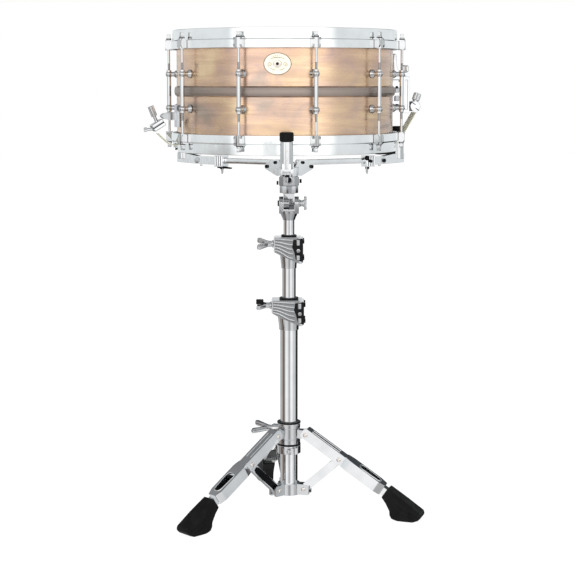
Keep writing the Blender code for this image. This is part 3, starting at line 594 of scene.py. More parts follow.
BADGE_RIM = gold("badge_rim", (0.28, 0.22, 0.15), 0.35)
RIVET = gold("rivet_heads", (0.80, 0.75, 0.70), 0.24)
COATED = coated_film()
CLEAR = clear_film()
RUBBER = rubber("moulded_rubber", (0.0030, 0.0030, 0.0030), 0.5)
# Black nylon, also used for dark plates that paint the shade in the clamps' hinge pockets.
NYLON_AND_POCKET_SHADE = rubber("black_nylon_and_pocket_shade", (0.005, 0.005, 0.0055), 0.32, 600.0, 0.1)
STRAP = strap_plastic()


# ---------------------------------------------------------------- drum


def shell():
    wall = 1.4 * MM
    bead = [
        (0.0, 8.6, 0.8),
        (2.8, 6.2, 0.9),
        (3.8, 2.6, 3.0),
        (3.8, -2.6, 3.0),
        (2.8, -6.2, 0.9),
        (0.0, -8.6, 0.8),
    ]
    edge = 0.4 * MM
    outside = [(SHELL_R, SHELL_HALF, edge)]
    outside += [(SHELL_R + out * MM, up * MM, soft * MM) for out, up, soft in bead]
    outside += [(SHELL_R, -SHELL_HALF, edge)]
    inside = [(radius - wall, height, soft) for radius, height, soft in reversed(outside)]
    body = lathe(fillet(outside + inside, 0.0, 3), DRUM_STEPS)
    vent = pin((170 * MM, 0, BADGE_Z), (185 * MM, 0, BADGE_Z), 6.1 * MM)
    moved(vent, turn(BADGE_AZIMUTH - 90, "Z"))
    piece("copper_shell", cast([body], [vent], edge=0), COPPER, "drum", DRUM, "shell")


def bent_oval(half_width, half_height, heights, steps=72):
    """A plate bent round the shell: heights is a list of (share of the oval, height over the shell)."""
    bm = bmesh.new()
    rings = []
    base = [(share, 0.35 * MM) for share, height in reversed(heights)]
    for share, height in [*heights, *base]:
        ring = []
        for index in range(steps):
            angle = math.tau * index / steps
            across = share * half_width * math.cos(angle) / SHELL_R
            radius = SHELL_R + height
            place = (
                radius * math.cos(across), radius * math.sin(across), share * half_height * math.sin(angle)
            )
            ring.append(bm.verts.new(place))
        rings.append(ring)
    for first, second in zip(rings, rings[1:] + rings[:1]):
        for index in range(steps):
            after = (index + 1) % steps
            bm.faces.new((first[index], first[after], second[after], second[index]))
    return finished(bm)


def on_badge(across, up, height=1.45 * MM):
    angle = across / SHELL_R
    radius = SHELL_R + height
    return (radius * math.cos(angle), radius * math.sin(angle), up)


def badge():
    """An oval enamel plate with a gold scroll ornament, held by the vent's grommet."""
    where = around(BADGE_AZIMUTH, DRUM) @ shift(0, 0, BADGE_Z)
    plate_heights = [(0.30, 1.3 * MM), (0.60, 1.4 * MM), (0.91, 1.3 * MM), (0.945, 1.2 * MM)]
    mesh = bent_oval(21.5 * MM, 17 * MM, plate_heights)
    piece("badge_plate", mesh, ENAMEL, "drum", where, "badge")
    rim_heights = [(0.94, 0.9 * MM), (0.95, 1.6 * MM), (0.985, 1.6 * MM), (1.0, 1.0 * MM)]
    mesh = bent_oval(21.5 * MM, 17 * MM, rim_heights)
    piece("badge_rim", mesh, BADGE_RIM, "drum", where)
    wires = []
    for side in (-1, 1):
        spiral = []
        for index in range(22):
            share = index / 21
            angle = math.radians(-60 + 470 * share)
            size = (3.6 - 2.6 * share) * MM
            across = side * (11.6 * MM + size * math.cos(angle))
            spiral.append(on_badge(across, -1.0 * MM + size * math.sin(angle)))
        wires.append(wire(spiral, 0.32 * MM))
        leaf = [
            on_badge(side * (3 + 8 * t) * MM, (-9.4 + 3.0 * t * t) * MM) for t in (0, 0.3, 0.6, 0.85, 1.0)
        ]
        wires.append(wire(leaf, 0.38 * MM))
    brow = [on_badge(x * MM, (9.6 - 0.018 * x * x) * MM) for x in range(-10, 11, 2)]
    wires.append(wire(brow, 0.42 * MM))
    beads = [ball(on_badge(x * MM, (12.2 - 0.02 * x * x) * MM), 0.55 * MM) for x in (-6, -3, 0, 3, 6)]
    piece("badge_ornament", joined(*wires, *beads), BADGE_GOLD, "drum", where)
    lip = fillet([(2.0, -3.2), (5.6, -3.2), (5.6, 1.2), (6.0, 1.6), (5.6, 2.9), (2.2, 3.1)], 0.5, 3)
    ring = lathe(in_mm(lip), 40)
    moved(ring, shift(SHELL_R, 0, 0) @ turn(90, "Y"))
    piece("vent_grommet", ring, RIVET, "drum", where)


def heads():
    profile = [
        (0, 83.4, 0),
        (178.5, 83.4, 1.0),
        (179.25, 82.3, 0.5),
        (179.25, 76.9, 0),
        (178.75, 76.9, 0),
        (178.75, 82.2, 0.4),
        (178.1, 82.95, 0.4),
        (0, 82.95, 0),
    ]
    film = rounded(profile, 3)
    ring = fillet([mm(179.0, 76.8), mm(183.7, 76.8), mm(183.7, 70), mm(179.0, 70)], MM, 3)
    below = DRUM @ turn(180, "X")
    mesh = lathe(film, DRUM_STEPS)
    moved(mesh, shift(0, 0, -FILM_Z))
    piece("batter_film", mesh, COATED, "drum", DRUM @ shift(0, 0, FILM_Z), "batter_head")
    under = mesh.copy()
    under.materials.clear()
    piece("snare_film", under, CLEAR, "drum", below @ shift(0, 0, FILM_Z), "snare_head")
    hoop = lathe(ring, DRUM_STEPS)
    piece("batter_flesh_hoop", hoop, ALUMINIUM, "drum", DRUM)
    piece("snare_flesh_hoop", hoop, ALUMINIUM, "drum", below)


def hoops():
    """Flanged hoops: an upright rim, a step, and a wider band with a rolled lower edge."""
    profile = [
        (184.1, 98.0, 0.9),
        (184.2, 81.0, 0.9),
        (187.0, 80.3, 1.0),
        (187.0, 67.0, 0.9),
        (184.7, 67.0, 0.9),
        (184.7, 77.4, 0.8),
        (181.8, 77.6, 0.5),
        (181.8, 98.0, 0.9),
    ]
    mesh = lathe(rounded(profile, 4), DRUM_STEPS)
    piece("batter_rim", mesh, HOOP_CHROME, "drum", DRUM, "batter_hoop")
    lower = mesh.copy()
    lower.materials.clear()
    moved(lower, turn(180, "X"))
    gates = []
    for azimuth in (THROW_AZIMUTH, BUTT_AZIMUTH):
        gate = bar(mm(165, -19, -102), mm(192, 19, -83.5), 2 * MM)
        gates.append(moved(gate, turn(azimuth - 90, "Z")))
    piece("snare_rim", cast([lower], gates, edge=0), HOOP_CHROME, "drum", DRUM, "snare_hoop")


def thread(radius, low, high, pitch=1.0 * MM):
    """The outer points of a threaded stretch, from low to high."""
    points = []
    height = low
    while height < high:
        points += [(radius, height), (radius - 0.22 * MM, height + pitch / 2)]
        height += pitch
    return points


def rod_mesh():
    """A tension rod: plain shank, thread where it enters the lug, collar and square key head."""
    shank = [mm(0, 26)] + thread(2.15 * MM, 26 * MM, 46 * MM) + [mm(2.05, 46.5), mm(2.05, 84)]
    shank += [mm(4.0, 84.2), mm(4.2, 84.6), mm(4.2, 85.8), mm(3.2, 86.6), mm(0, 86.6)]
    key = cast(
        [
            flat_block(mm(-2.75, -2.75, 86), mm(2.75, 2.75, 92.6)),
        ],
        shared=[lathe([mm(0, 82), mm(4.4, 82), mm(3.3, 92.8), mm(0, 92.8)], 32)],
        edge=0.35 * MM,
    )
    return joined(lathe(shank, 24), key)


def claw_mesh():
    """A cast claw: it hooks over the hoop's step, and its boss holds the rod."""
    hook = [
        (187.45, 68.0, 1.4), (195.6, 68.0, 2.4), (197.0, 72.0, 3.0), (197.0, 79.4, 2.6), (194.8, 83.0, 1.6)
    ]
    hook += [(185.2, 83.0, 1.2), (184.9, 81.1, 0.3), (187.45, 80.9, 0.3)]
    body = flat_plate(rounded(hook, 3), 14.5 * MM)
    boss = pin((ROD_CIRCLE_R, 0, 66.6 * MM), (ROD_CIRCLE_R, 0, 83.1 * MM), 6.0 * MM, 5.6 * MM)
    return cast([body, boss], edge=0.7 * MM, segments=2)


def lug_mesh():
    """A polished tube on two ball posts with flared feet."""
    half = 34 * MM
    rim = 3.0 * MM
    lower_end = [(0, -half, 0), (4.1 * MM, -half), (4.1 * MM, rim - half), (3.5 * MM, rim - half + 0.4 * MM)]
    upper_end = [(3.5 * MM, half - rim - 0.4 * MM), (4.1 * MM, half - rim), (4.1 * MM, half), (0, half, 0)]
    tube = fillet(lower_end + upper_end, 0.3 * MM, 2)
    parts = [moved(lathe(tube, 40), shift(ROD_CIRCLE_R, 0, 0))]
    foot = [
        (0, 0, 0),
        (6.9, 0, 0.4),
        (6.9, 1.2, 0.6),
        (5.4, 3.4, 1.4),
        (3.9, 5.2, 1.6),
        (3.5, 12.0, 0),
        (0, 12.0, 0),
    ]
    post = lathe(rounded(foot, 4), 40)
    for side in (-1, 1):
        height = side * LUG_POST_Z
        parts.append(ball((ROD_CIRCLE_R, 0, height), 5.6 * MM))
        standing = post.copy()
        parts.append(moved(standing, shift(SHELL_R + GAP, 0, height) @ turn(90, "Y")))
    return joined(*parts)


def lugs():
    lug = lug_mesh()
    rod = rod_mesh()
    claw = claw_mesh()
    ring = [(2.3, 83.2), (4.7, 83.2), (4.7, 84.2), (2.3, 84.2)]
    washer = lathe(fillet(in_mm(ring), 0.3 * MM, 2), 32)
    for index in range(LUG_COUNT):
        outwards = around(FIRST_LUG + index * 360.0 / LUG_COUNT, DRUM)
        number = f"{index + 1:02d}"
        piece(f"tube_lug_{number}", lug, LUG_CHROME, "drum", outwards, f"lug_{number}")
        for side, facing in (("batter", outwards), ("snare", outwards @ turn(180, "X"))):
            on_rod = facing @ shift(ROD_CIRCLE_R, 0, 0)
            piece(f"{side}_rod_{number}", rod, LUG_CHROME, "drum", on_rod)
            piece(f"{side}_washer_{number}", washer, NYLON_AND_POCKET_SHADE, "drum", on_rod)
            piece(f"{side}_claw_{number}", claw, LUG_CHROME, "drum", facing)


# ---------------------------------------------------------------- snare strainer


def screw_head(radius, height):
    """A pan head with a slot, standing on z = 0."""
    dome = fillet(
        [(0, 0, 0), (radius, 0, 0.1 * MM), (radius * 0.92, height, height * 0.8), (0, height * 1.1, 0)],
        0,
        5,
    )
    slot = flat_block((-radius * 1.2, -0.35 * MM, height * 0.55), (radius * 1.2, 0.35 * MM, height * 2))
    return cast([lathe(dome, 32)], [slot], edge=0)


def throw_off():
    where = around(THROW_AZIMUTH, DRUM)
    spine = flat_block(mm(182.2, -10, -36), mm(200, 10, 15))
    hollow = flat_block(mm(185, -7, -40), mm(197, 7, 11))
    low_foot = flat_block(mm(178.3, -9, -35), mm(183.5, 9, -12))
    high_foot = flat_block(mm(178.3, -7, 10), mm(184.4, 7, 31))
    riser = flat_block(mm(198, -5, -33), mm(203.1, 5, 30.5))
    bridge = flat_block(mm(199.2, -6.5, 26.5), mm(214.5, 6.5, 30.5))
    lever_room = flat_block(mm(184.8, -12, 14.8), mm(199.1, 12, 40))
    screw_hole = pin(mm(208.6, 0, 20), mm(208.6, 0, 35), 2.9 * MM)
    windows = [
        flat_plate(
            fillet([mm(186.5, low), mm(195.5, low), mm(195.5, low + 9), mm(186.5, low + 9)], 2.5 * MM),
            40 * MM,
        )
        for low in (-31, -17, -3)
    ]
    mesh = cast(
        [spine, low_foot, high_foot, riser, bridge],
        [hollow, lever_room, screw_hole, *windows],
        edge=0.7 * MM,
    )
    piece("throw_off_frame", mesh, CAST_CHROME, "drum", where, "throw_off_base")
    screws = []
    for height in mm(-24, 6):
        for side in (-1, 1):
            head = moved(
                screw_head(2.4 * MM, 1.5 * MM),
                shift(191 * MM, side * 10 * MM, height) @ turn(-90 * side, "X"),
            )
            screws.append(head)
    screws.append(moved(screw_head(3.4 * MM, 2.2 * MM), shift(208.6 * MM, 0, 30.6 * MM)))
    piece("throw_off_screws", joined(*screws), DARK_STEEL_AND_CHANNEL_SHADE, "drum", where)
    # Thin dark bars along the riser and beside the windows: painted shade in the gaps between faces.
    gap_shades = [
        bar(mm(201.2, side * 5.2 - 0.4, -30), mm(203.4, side * 5.2 + 0.4, 24), 0.2 * MM) for side in (-1, 1)
    ]
    gap_shades += [
        bar(mm(186.2, side * 10 - 0.3, low), mm(189, side * 10 + 0.3, low + 8), 0.2 * MM)
        for side in (-1, 1)
        for low in (-31, -17, -3)
    ]
    piece("throw_off_gap_shades", joined(*gap_shades), PAINTED_GROOVE_SHADE, "drum", where)

    low = -5.8
    thumb = [(185.3, low, 2), (198.5, low, 2), (198.5, 3, 2), (196, 9, 6), (192.6, 20, 8), (191.2, 38, 2)]
    thumb += [(187.6, 38.4, 2), (186.6, 26, 8), (187.6, 12, 6), (185.3, 6, 3)]
    leaf = plate(rounded(thumb, 5), 11 * MM, 1.2 * MM)
    axle = pin(mm(182, 0, 0), mm(196, 0, 0), 2.3 * MM)
    grips = [bar(mm(190.5, -5, z), mm(192.6, 5, z + 1), 0.4 * MM, 2) for z in (28, 30.5, 33, 35.5)]
    pivot = where @ shift(0, 0, 23.5 * MM)
    piece(
        "thumb_lever",
        joined(leaf, axle, *grips),
        CAST_CHROME,
        "throw_off_lever",
        pivot,
        "throw_off_lever",
    )

    carriage = flat_block(mm(203.5, -7, -37), mm(214.5, 7, 23.6))
    groove = flat_block(mm(212, -3, -30), mm(216, 3, 17))
    sides = [flat_block(mm(206.6, y, -31), mm(211.4, y + 2, 18)) for y in (-8, 6)]
    mesh = cast([carriage], [groove, *sides], edge=0.9 * MM, segments=3)
    piece("carriage", mesh, CAST_CHROME, "throw_off_slider", where, "throw_off_slider")


def knurled(start, end, radius, teeth=24, depth=0.5 * MM):
    length = (Vector(end) - Vector(start)).length
    body = moved(plate(wavy(radius, depth, teeth), length, 0.6 * MM, "XY"), shift(0, 0, length / 2))
    return moved(body, along(start, end))


def strap_clamp():
    where = around(THROW_AZIMUTH, DRUM)
    centre = Vector(mm(224.0, 0, -26))
    lean = Vector((0.36, 0.0, 1.0)).normalized()
    half = 11 * MM
    rim = [
        (0, -half, 0),
        (8.9, -11, 0.8),
        (8.9, -9.4, 0.5),
        (8.1, -8.8, 0.4),
        (8.1, 8.8, 0.4),
        (8.9, 9.4, 0.5),
        (8.9, 11, 0.8),
    ]
    outline = in_mm(rim[1:])
    drum = lathe(fillet([(0, -half, 0), *outline, (0, half, 0)], 0, 3), 48)
    moved(drum, Matrix.Translation(centre) @ turn(90, "X"))
    slit = moved(flat_block(mm(-12, -13, -10.2), mm(12, 13, -8.2)), Matrix.Translation(centre))
    stem = pin(centre + lean * 5 * MM, centre + lean * 14 * MM, 3.0 * MM)
    collar = pin(centre + lean * 8.6 * MM, centre + lean * 10.8 * MM, 4.8 * MM)
    mesh = cast([drum], [slit], edge=0)
    piece(
        "strap_jaw",
        joined(mesh, stem, collar),
        CAST_CHROME,
        "throw_off_slider",
        where,
        "strap_clamp",
    )
    grip = knurled(centre + lean * 10.8 * MM, centre + lean * 22.6 * MM, 6.5 * MM, 18)
    cap = pin(centre + lean * 22.4 * MM, centre + lean * 23.2 * MM, 4.6 * MM)
    piece("jaw_knob", joined(grip, cap), CAST_CHROME, "throw_off_slider", where)
    # Short dark pins on the jaw's sides: painted shade where the slots are.
    lines = []
    for across, level in ((-3, 5.2), (3.4, -4.6)):
        for side in (-1, 1):
            low = centre + Vector(mm(across - 3, side * 11 - 0.2, level + 1.4))
            lines.append(pin(low, low + Vector(mm(6, 0, -3.6)), 0.75 * MM, edge=0.2 * MM, steps=12))
    piece("jaw_slot_shade", joined(*lines), PAINTED_GROOVE_SHADE, "throw_off_slider", where)


def tension_knob():
    where = around(THROW_AZIMUTH, DRUM) @ shift(208.6 * MM, 0, 0)
    parts = [
        pin(mm(0, 0, 24.2), mm(0, 0, 33), 2.2 * MM),
        knurled(mm(0, 0, 32.4), mm(0, 0, 41.2), 6.7 * MM, 26),
        pin(mm(0, 0, 41), mm(0, 0, 42.8), 5.4 * MM, 4.6 * MM, 0.7 * MM),
        pin(mm(0, 0, 31.4), mm(0, 0, 32.8), 5.2 * MM),
    ]
    piece(
        "tension_knob_grip",
        joined(*parts),
        CAST_CHROME,
        "tension_knob",
        where,
        "tension_knob",
    )


def strap(name, azimuth, top, body, node):
    """A thin band that bends over the hoop's gate and in under the head."""
    thick = 1.0 * MM
    gate = mm(196, -83)
    under = -86 * MM
    inner = 166.6 * MM
    side = (Vector(top) - Vector(gate)).normalized()
    normal = Vector((side.y, -side.x)) * thick
    outline = [(*top, 0), (*gate, 6 * MM), (190 * MM, under, 6 * MM), (inner, under, 0)]
    outline += [(inner, under - thick, 0), (190.6 * MM, under - thick, 7 * MM)]
    outline += [(gate[0] + normal.x, gate[1] + normal.y, 7 * MM), (top[0] + normal.x, top[1] + normal.y, 0)]
    mesh = plate(fillet(outline, 0, 5), 26 * MM, 0.2 * MM)
    piece(name, mesh, STRAP, body, around(azimuth, DRUM), node)


def snare_wires():
    """Coiled wires between two end plates with soldered seams."""
    where = around(THROW_AZIMUTH, DRUM)
    half = 150 * MM
    pitch = 2.9 * MM
    turns = int(2 * half / pitch)
    coils = []
    for index in range(WIRE_COUNT):
        across = (index - (WIRE_COUNT - 1) / 2) * 2.15 * MM
        points = []
        for step in range(turns * 5 + 1):
            angle = math.tau * step / 5
            swing = 0.5 * MM
            points.append(
                (
                    step / 5 * pitch - half,
                    across + swing * math.cos(angle),
                    swing * math.sin(angle) - 85 * MM,
                )
            )
        coils.append(wire(points, 0.28 * MM, smooth=False, sides=0))
    piece("coiled_wires", joined(*coils), WIRE, "snare_wires", where, "snare_wires")
    ends = []
    for end in (-1, 1):
        reach = sorted(mm(end * 148, end * 166.1))
        ends.append(bar((reach[0], -22 * MM, -86.4 * MM), (reach[1], 22 * MM, -84.2 * MM), 0.6 * MM))
        ends.append(bar(mm(end * 153 - 1, -20, -86.8), mm(end * 153 + 1, 20, -86), 0.3 * MM))
    piece("wire_end_plates", joined(*ends), CAST_CHROME, "snare_wires", where)


def butt():
    where = around(BUTT_AZIMUTH, DRUM)
    foot = flat_block(mm(178.3, -11, -58), mm(183, 11, -22))
    wing = [
        (181, -34, 0),
        (192, -33.4, 6),
        (203, -35.6, 6),
        (208.4, -40, 2),
        (203, -44.4, 6),
        (192, -46.4, 6),
        (181, -46, 0),
    ]
    arm = flat_plate(rounded(wing, 5), 20 * MM)
    mesh = cast([foot, arm], edge=0.9 * MM, segments=3)
    piece("butt_bracket", mesh, SMOKED_CHROME, "drum", where, "butt_plate")
    tilted = shift(212.5 * MM, 0, -54.5 * MM) @ turn(32, "Y")
    jaw = bar(mm(-10.5, -12, -6), mm(10.5, 12, -0.6), 1.0 * MM)
    lid = bar(mm(-10.5, -12, 0.2), mm(10.5, 12, 6), 1.4 * MM)
    edge_line = bar(mm(-10, -11.5, -1.2), mm(10, 11.5, 0.8), 0.2 * MM)
    stem = pin(mm(213, 0, -52), mm(219, 0, -38), 2.6 * MM)
    mesh = joined(moved(jaw, tilted), moved(lid, tilted), stem)
    piece("butt_jaw", mesh, CAST_CHROME, "drum", where, "butt_clamp")
    piece("butt_jaw_gasket", moved(edge_line, tilted), NYLON_AND_POCKET_SHADE, "drum", where)
    knob = knurled(mm(217.8, 0, -40.1), mm(224, 0, -24), 5.0 * MM, 16)
    piece("butt_knob", knob, CAST_CHROME, "drum", where)
    clamp_screw = joined(
        pin(mm(221, 0, -60.8), mm(231, 0, -61.7), 2.4 * MM),
        knurled(mm(230, 0, -61.6), mm(235, 0, -62), 3.6 * MM, 12, 0.4 * MM),
    )
    piece("butt_screw", clamp_screw, CAST_CHROME, "drum", where)


# ---------------------------------------------------------------- mast


def mast_tube(name, node, outer, inner, low, high, body):
    outline = [(outer, low), (outer, high), (inner, high), (inner, low)]
    mesh = lathe(fillet(in_mm(outline), 0.5 * MM, 3), 72)
    piece(name, mesh, TUBE_CHROME, body, MAST, node)


def collar_ring(name, inner, outer, low, high, body, look=None, soft=0.9):
    outline = [(outer, low), (outer, high), (inner, high), (inner, low)]
    mesh = lathe(fillet(in_mm(outline), soft * MM, 4), 64)
    return piece(name, mesh, look or NYLON_AND_POCKET_SHADE, body)


def hex_bolt(start, end, radius, stem=None):
    """A hexagonal head with a domed face, from start towards end."""
    length = (Vector(end) - Vector(start)).length
    prism = flat_plate(arc((0, 0), radius, 0, 300, 5), length, "XY")
    wide = radius * 1.02
    dome = [(0, -length, 0), (wide, -length, 0), (wide, length * 0.5, radius * 0.25), (0, length * 0.5, 0)]
    head = cast([prism], shared=[lathe(fillet(dome, 0, 4), 36)], edge=0.25 * MM)
    moved(head, along(start, end) @ shift(0, 0, length / 2))
    if stem:
        return joined(
            head,
            pin(start, Vector(start) + (Vector(start) - Vector(end)).normalized() * stem, radius * 0.5),
        )
    return head


def ribs(left, right, high, low, depth, count, radius=1.7 * MM):
    """Lines that sweep over a clamp's front and back, from the level top to the slanted foot."""
    lines = []
    for face in (-1, 1):
        for index in range(count):
            share = index / (count - 1)
            start = high[0] + (low[0] - high[0]) * share
            end = high[1] + (low[1] - high[1]) * share
            points = []
            for step in range(9):
                t = step / 8
                drop = t * t * (3 - 2 * t)
                points.append((left + (right - left) * t, face * depth, start + (end - start) * drop))
            lines.append(wire(points, radius))
    return joined(*lines)


def clamp_hinge(name, body, inner, outer, low, high, depth):
    """The jaw side of a clamp: dark plates that paint the shade of a deep pocket, two bright knuckles, a pin
    and black nuts.
    """
    recess_shade = []
    bright = []
    black = []
    middle_x = (inner + outer) / 2
    middle_z = (low + high) / 2
    for face in (-1, 1):
        front = face * depth
        outline = [(inner, high - 2, 1.5), (outer + 1, high, 1), (outer + 1, low, 1), (inner + 4, low + 3, 2)]
        outline += [(inner + 1.5, middle_z - 3, 3), (inner - 2, middle_z + 5, 3)]
        outline = in_mm(outline)
        recess_shade.append(moved(plate(fillet(outline, 0, 4), 1.6 * MM, 0.3 * MM), shift(0, front * MM, 0)))
        for bottom, top in ((low + 3, low + 11), (high - 11, high - 2)):
            start = mm(middle_x + 0.5, front, bottom)
            bright.append(pin(start, mm(middle_x + 0.5, front, top), 3.4 * MM, edge=0.9 * MM))
        seat = mm(middle_x + 1, front + face * 0.4, middle_z - 0.5)
        tip = mm(middle_x + 1, front + face * 3.4, middle_z - 0.5)
        bright.append(hex_bolt(seat, tip, 3.1 * MM))
        for level in (low + 6, high - 5):
            start = mm(outer - 1, front - face * 5, level)
            end = mm(outer + 3.4, front - face * 5, level)
            black.append(hex_bolt(start, end, 3.9 * MM))
    bar_low = mm(outer - 6, 2 - depth, low + 1)
    bright.append(bar(bar_low, mm(outer + 0.8, depth - 2, low + 9), 1.2 * MM))
    # The dark plates on both faces are painted shade for the hinge pocket.
    piece(f"{name}_recess", joined(*recess_shade), NYLON_AND_POCKET_SHADE, body)
    piece(f"{name}_knuckles", joined(*bright), CAST_CHROME, body)
    piece(f"{name}_nuts", joined(*black), DARK_STEEL_AND_CHANNEL_SHADE, body)


def height_clamp(name, node, outline, depth, skirt, bores, bolt_z, body, rib_lines, hinge):
    """A ribbed casting on a tapered skirt, with its jaw side to the right."""
    block = flat_plate(fillet(in_mm(outline), 2.4 * MM, 4), 2 * depth * MM)
    xs = [x for x, z in outline]
    corner = 9.0
    plan = [
        (min(xs) - 1, -depth, 3),
        (max(xs) + 1, -depth, corner),
        (max(xs) + 1, depth, corner),
        (min(xs) - 1, depth, 3),
    ]
    plan = in_mm(plan)
    tall = moved(flat_plate(fillet(plan, 0, 6), 400 * MM, "XY"), shift(0, 0, bolt_z))
    top, bottom, top_r, bottom_r, bore_r = skirt
    cone = [(top_r, top), (bottom_r, bottom + 4, 2), (bottom_r, bottom), (bore_r, bottom), (bore_r, top)]
    cone_mesh = lathe(fillet(in_mm(cone), 0.5 * MM, 3), 64)
    cuts = [
        pin(mm(0, 0, low), mm(0, 0, high), radius * MM, edge=0.1 * MM, steps=64)
        for radius, low, high in bores
    ]
    cuts.append(pin((-40 * MM, 0, bolt_z), (-8 * MM, 0, bolt_z), 4.3 * MM))
    shaped = cast([block], shared=[tall], edge=0)
    mesh = cast([shaped, cone_mesh], cuts, edge=1.0 * MM, segments=3)
    piece(name, mesh, CAST_CHROME, body, MAST, node)
    left, right, high, low, count = rib_lines
    mesh = ribs(left, right, high, low, (depth - 0.8) * MM, count)
    piece(f"{name}_ribs", mesh, CAST_CHROME, body)
    # Thin dark wires between the ribs: painted shade in the grooves.
    step = (high[0] - low[0]) / (count - 1) / 2
    between = [(high[0] - step, high[1] - step), (low[0] - step, low[1] - step)]
    mesh = ribs(left, right, between[0], between[1], depth * MM, count, 0.42 * MM)
    piece(f"{name}_painted_groove_shade", mesh, PAINTED_GROOVE_SHADE, body)
    clamp_hinge(name, body, *hinge, depth)


def clamps():
    lower = [(-28, 352.5), (-28, 332), (-14, 324), (20, 310), (24.5, 313), (24.5, 349), (21, 352.5)]
    skirt = (330, 302.5, 18.8, 16, 14.6)
    bores = [(14.7, 290, 347.5), (11.6, 340, 360)]
    lines = (-25.5 * MM, 9 * MM, mm(350, 348.5), mm(333, 320), 5)
    height_clamp(
        "lower_clamp_body",
        "lower_clamp",
        lower,
        20,
        skirt,
        bores,
        LOWER_BOLT_Z,
        "mast_base",
        lines,
        (10, 23.5, 313, 350),
    )
    collar_ring("lower_clamp_bush", 11.3, 15.6, 351.8, 355.6, "mast_base")
    upper = [(-24.5, 455), (-24.5, 431), (-10, 424), (19, 411), (23, 414), (23, 451), (19, 455)]
    skirt = (430, 403.5, 15.2, 12.4, 11.4)
    bores = [(11.5, 390, 450.5), (9.3, 440, 460)]
    lines = (-22.5 * MM, 6 * MM, mm(452.5, 450.5), mm(434, 421), 5)
    height_clamp(
        "upper_clamp_body",
        "upper_clamp",
        upper,
        16.5,
        skirt,
        bores,
        UPPER_BOLT_Z,
        "middle_mast",
        lines,
        (7, 21.5, 415, 453),
    )
    collar_ring("upper_clamp_bush", 8.95, 12.6, 454.4, 458.0, "middle_mast")


def wing_bolt(name, node, inner, outer, reach, spread, where, stem=3.6):
    """A threaded stem, a flared hub and two swept wings with thick rounded tips."""
    hub = outer + 9
    wing = [
        (outer + 2.5, -4.4, 2),
        (hub, -5.4, 3),
        (reach - 5, -spread, 5),
        (reach, -spread + 1, 2.4),
        (reach - 1, -spread + 8, 3),
    ]
    wing += [(hub + 3, 0, 4)]
    wing += [(x, -z, soft) for x, z, soft in reversed(wing[:-1])]
    blade = plate(rounded(wing, 5), 7.0 * MM, 2.0 * MM)
    screw = [mm(0, inner)] + thread(stem * MM, inner * MM, (outer + 1) * MM, 1.25 * MM)
    screw += [mm(stem, outer + 1.5), mm(0, outer + 1.5)]
    flare = [
        (0, outer, 0),
        (6.2, outer, 0.6),
        (6.2, outer + 1.6, 0.8),
        (4.6, outer + 3, 1.5),
        (4.9, hub, 1.6),
        (0, hub, 0),
    ]
    boss = lathe(rounded(flare, 3), 48)
    axle = joined(lathe(screw, 32), boss)
    moved(axle, turn(90, "Y"))
    return piece(name, joined(axle, blade), CAST_CHROME, node, where, node)


def wing_bolts():
    left = turn(180, "Z")
    lower = MAST @ shift(0, 0, LOWER_BOLT_Z) @ left
    wing_bolt("lower_wing", "lower_wing_bolt", 16, 28.5, 53, 13, lower @ turn(74, "X"))
    grip = [bar(mm(41.5, -3.2, 2.2), mm(53.5, 3.2, 9.6), 0.8 * MM)]
    grip += [bar(mm(x, -3.7, 3), mm(x + 1.3, 3.7, 10.2), 0.4 * MM) for x in (42.6, 45.2, 47.8, 50.4)]
    piece("lower_wing_grip", joined(*grip), NYLON_AND_POCKET_SHADE, "lower_wing_bolt", lower)
    upper = MAST @ shift(0, 0, UPPER_BOLT_Z) @ left @ turn(62, "X")
    wing_bolt("upper_wing", "upper_wing_bolt", 12, 25, 52, 14, upper)
    leg = around(LEG_BOLT_AZIMUTH) @ shift(0, 0, LEG_BOLT_Z) @ turn(64, "X")
    wing_bolt("leg_wing", "leg_wing_bolt", 15.5, 27.5, 62, 15, leg)
    tilt = MAST @ shift(0, 0, TILT_Z) @ turn(20, "X")
    wing_bolt("tilter_wing", "tilter_wing_bolt", -6, 16.4, 29, 12, tilt)


def upper_tube():
    """The top tube and the two-cheeked yoke on it."""
    tube = pin(mm(0, 0, 300), mm(0, 0, 486), 8.75 * MM, steps=72)
    flare = [
        (0, 481.8, 0), (9.6, 481.8, 0.8), (10.4, 484.4, 2), (14.2, 493, 3), (14.4, 497.4, 1), (0, 497.4, 0)
    ]
    collar = lathe(rounded(flare, 4), 64)
    cheek = [mm(-11, 493), mm(11, 493)] + arc((0, TILT_Z), 11 * MM, 0, 180, 20)
    cheeks = [moved(flat_plate(cheek, 6.8 * MM, "YZ"), shift(side * 12.6 * MM, 0, 0)) for side in (-1, 1)]
    bore = pin(mm(0, 0, 290), mm(0, 0, 478), 7 * MM)
    pin_hole = pin((5 * MM, 0, TILT_Z), (20 * MM, 0, TILT_Z), 4.3 * MM)
    mesh = cast([collar, *cheeks], [pin_hole], edge=1.0 * MM, segments=3)
    piece("tilter_yoke", mesh, HINGE_CHROME, "upper_mast", MAST)
    piece(
        "upper_mast_tube",
        cast([tube], [bore], edge=0),
        TUBE_CHROME,
        "upper_mast",
        MAST,
        "upper_tube",
    )
    lines = []
    for face in (-1, 1):
        for index in range(3):
            low = (497 + 4.4 * index) * MM
            points = [
                (-15.6 * MM, face * 10.2 * MM, low + 7 * MM),
                (-12.6 * MM, face * 11.2 * MM, low + 3 * MM),
                (-9.6 * MM, face * 10.6 * MM, low - 1 * MM),
            ]
            lines.append(wire(points, 0.8 * MM))
    piece("yoke_ribs", joined(*lines), CAST_CHROME, "upper_mast")
    bolt = hex_bolt((-15.9 * MM, 0, TILT_Z), (-18.4 * MM, 0, TILT_Z), 5.2 * MM)
    piece("yoke_bolt", bolt, DARK_STEEL_AND_CHANNEL_SHADE, "upper_mast")


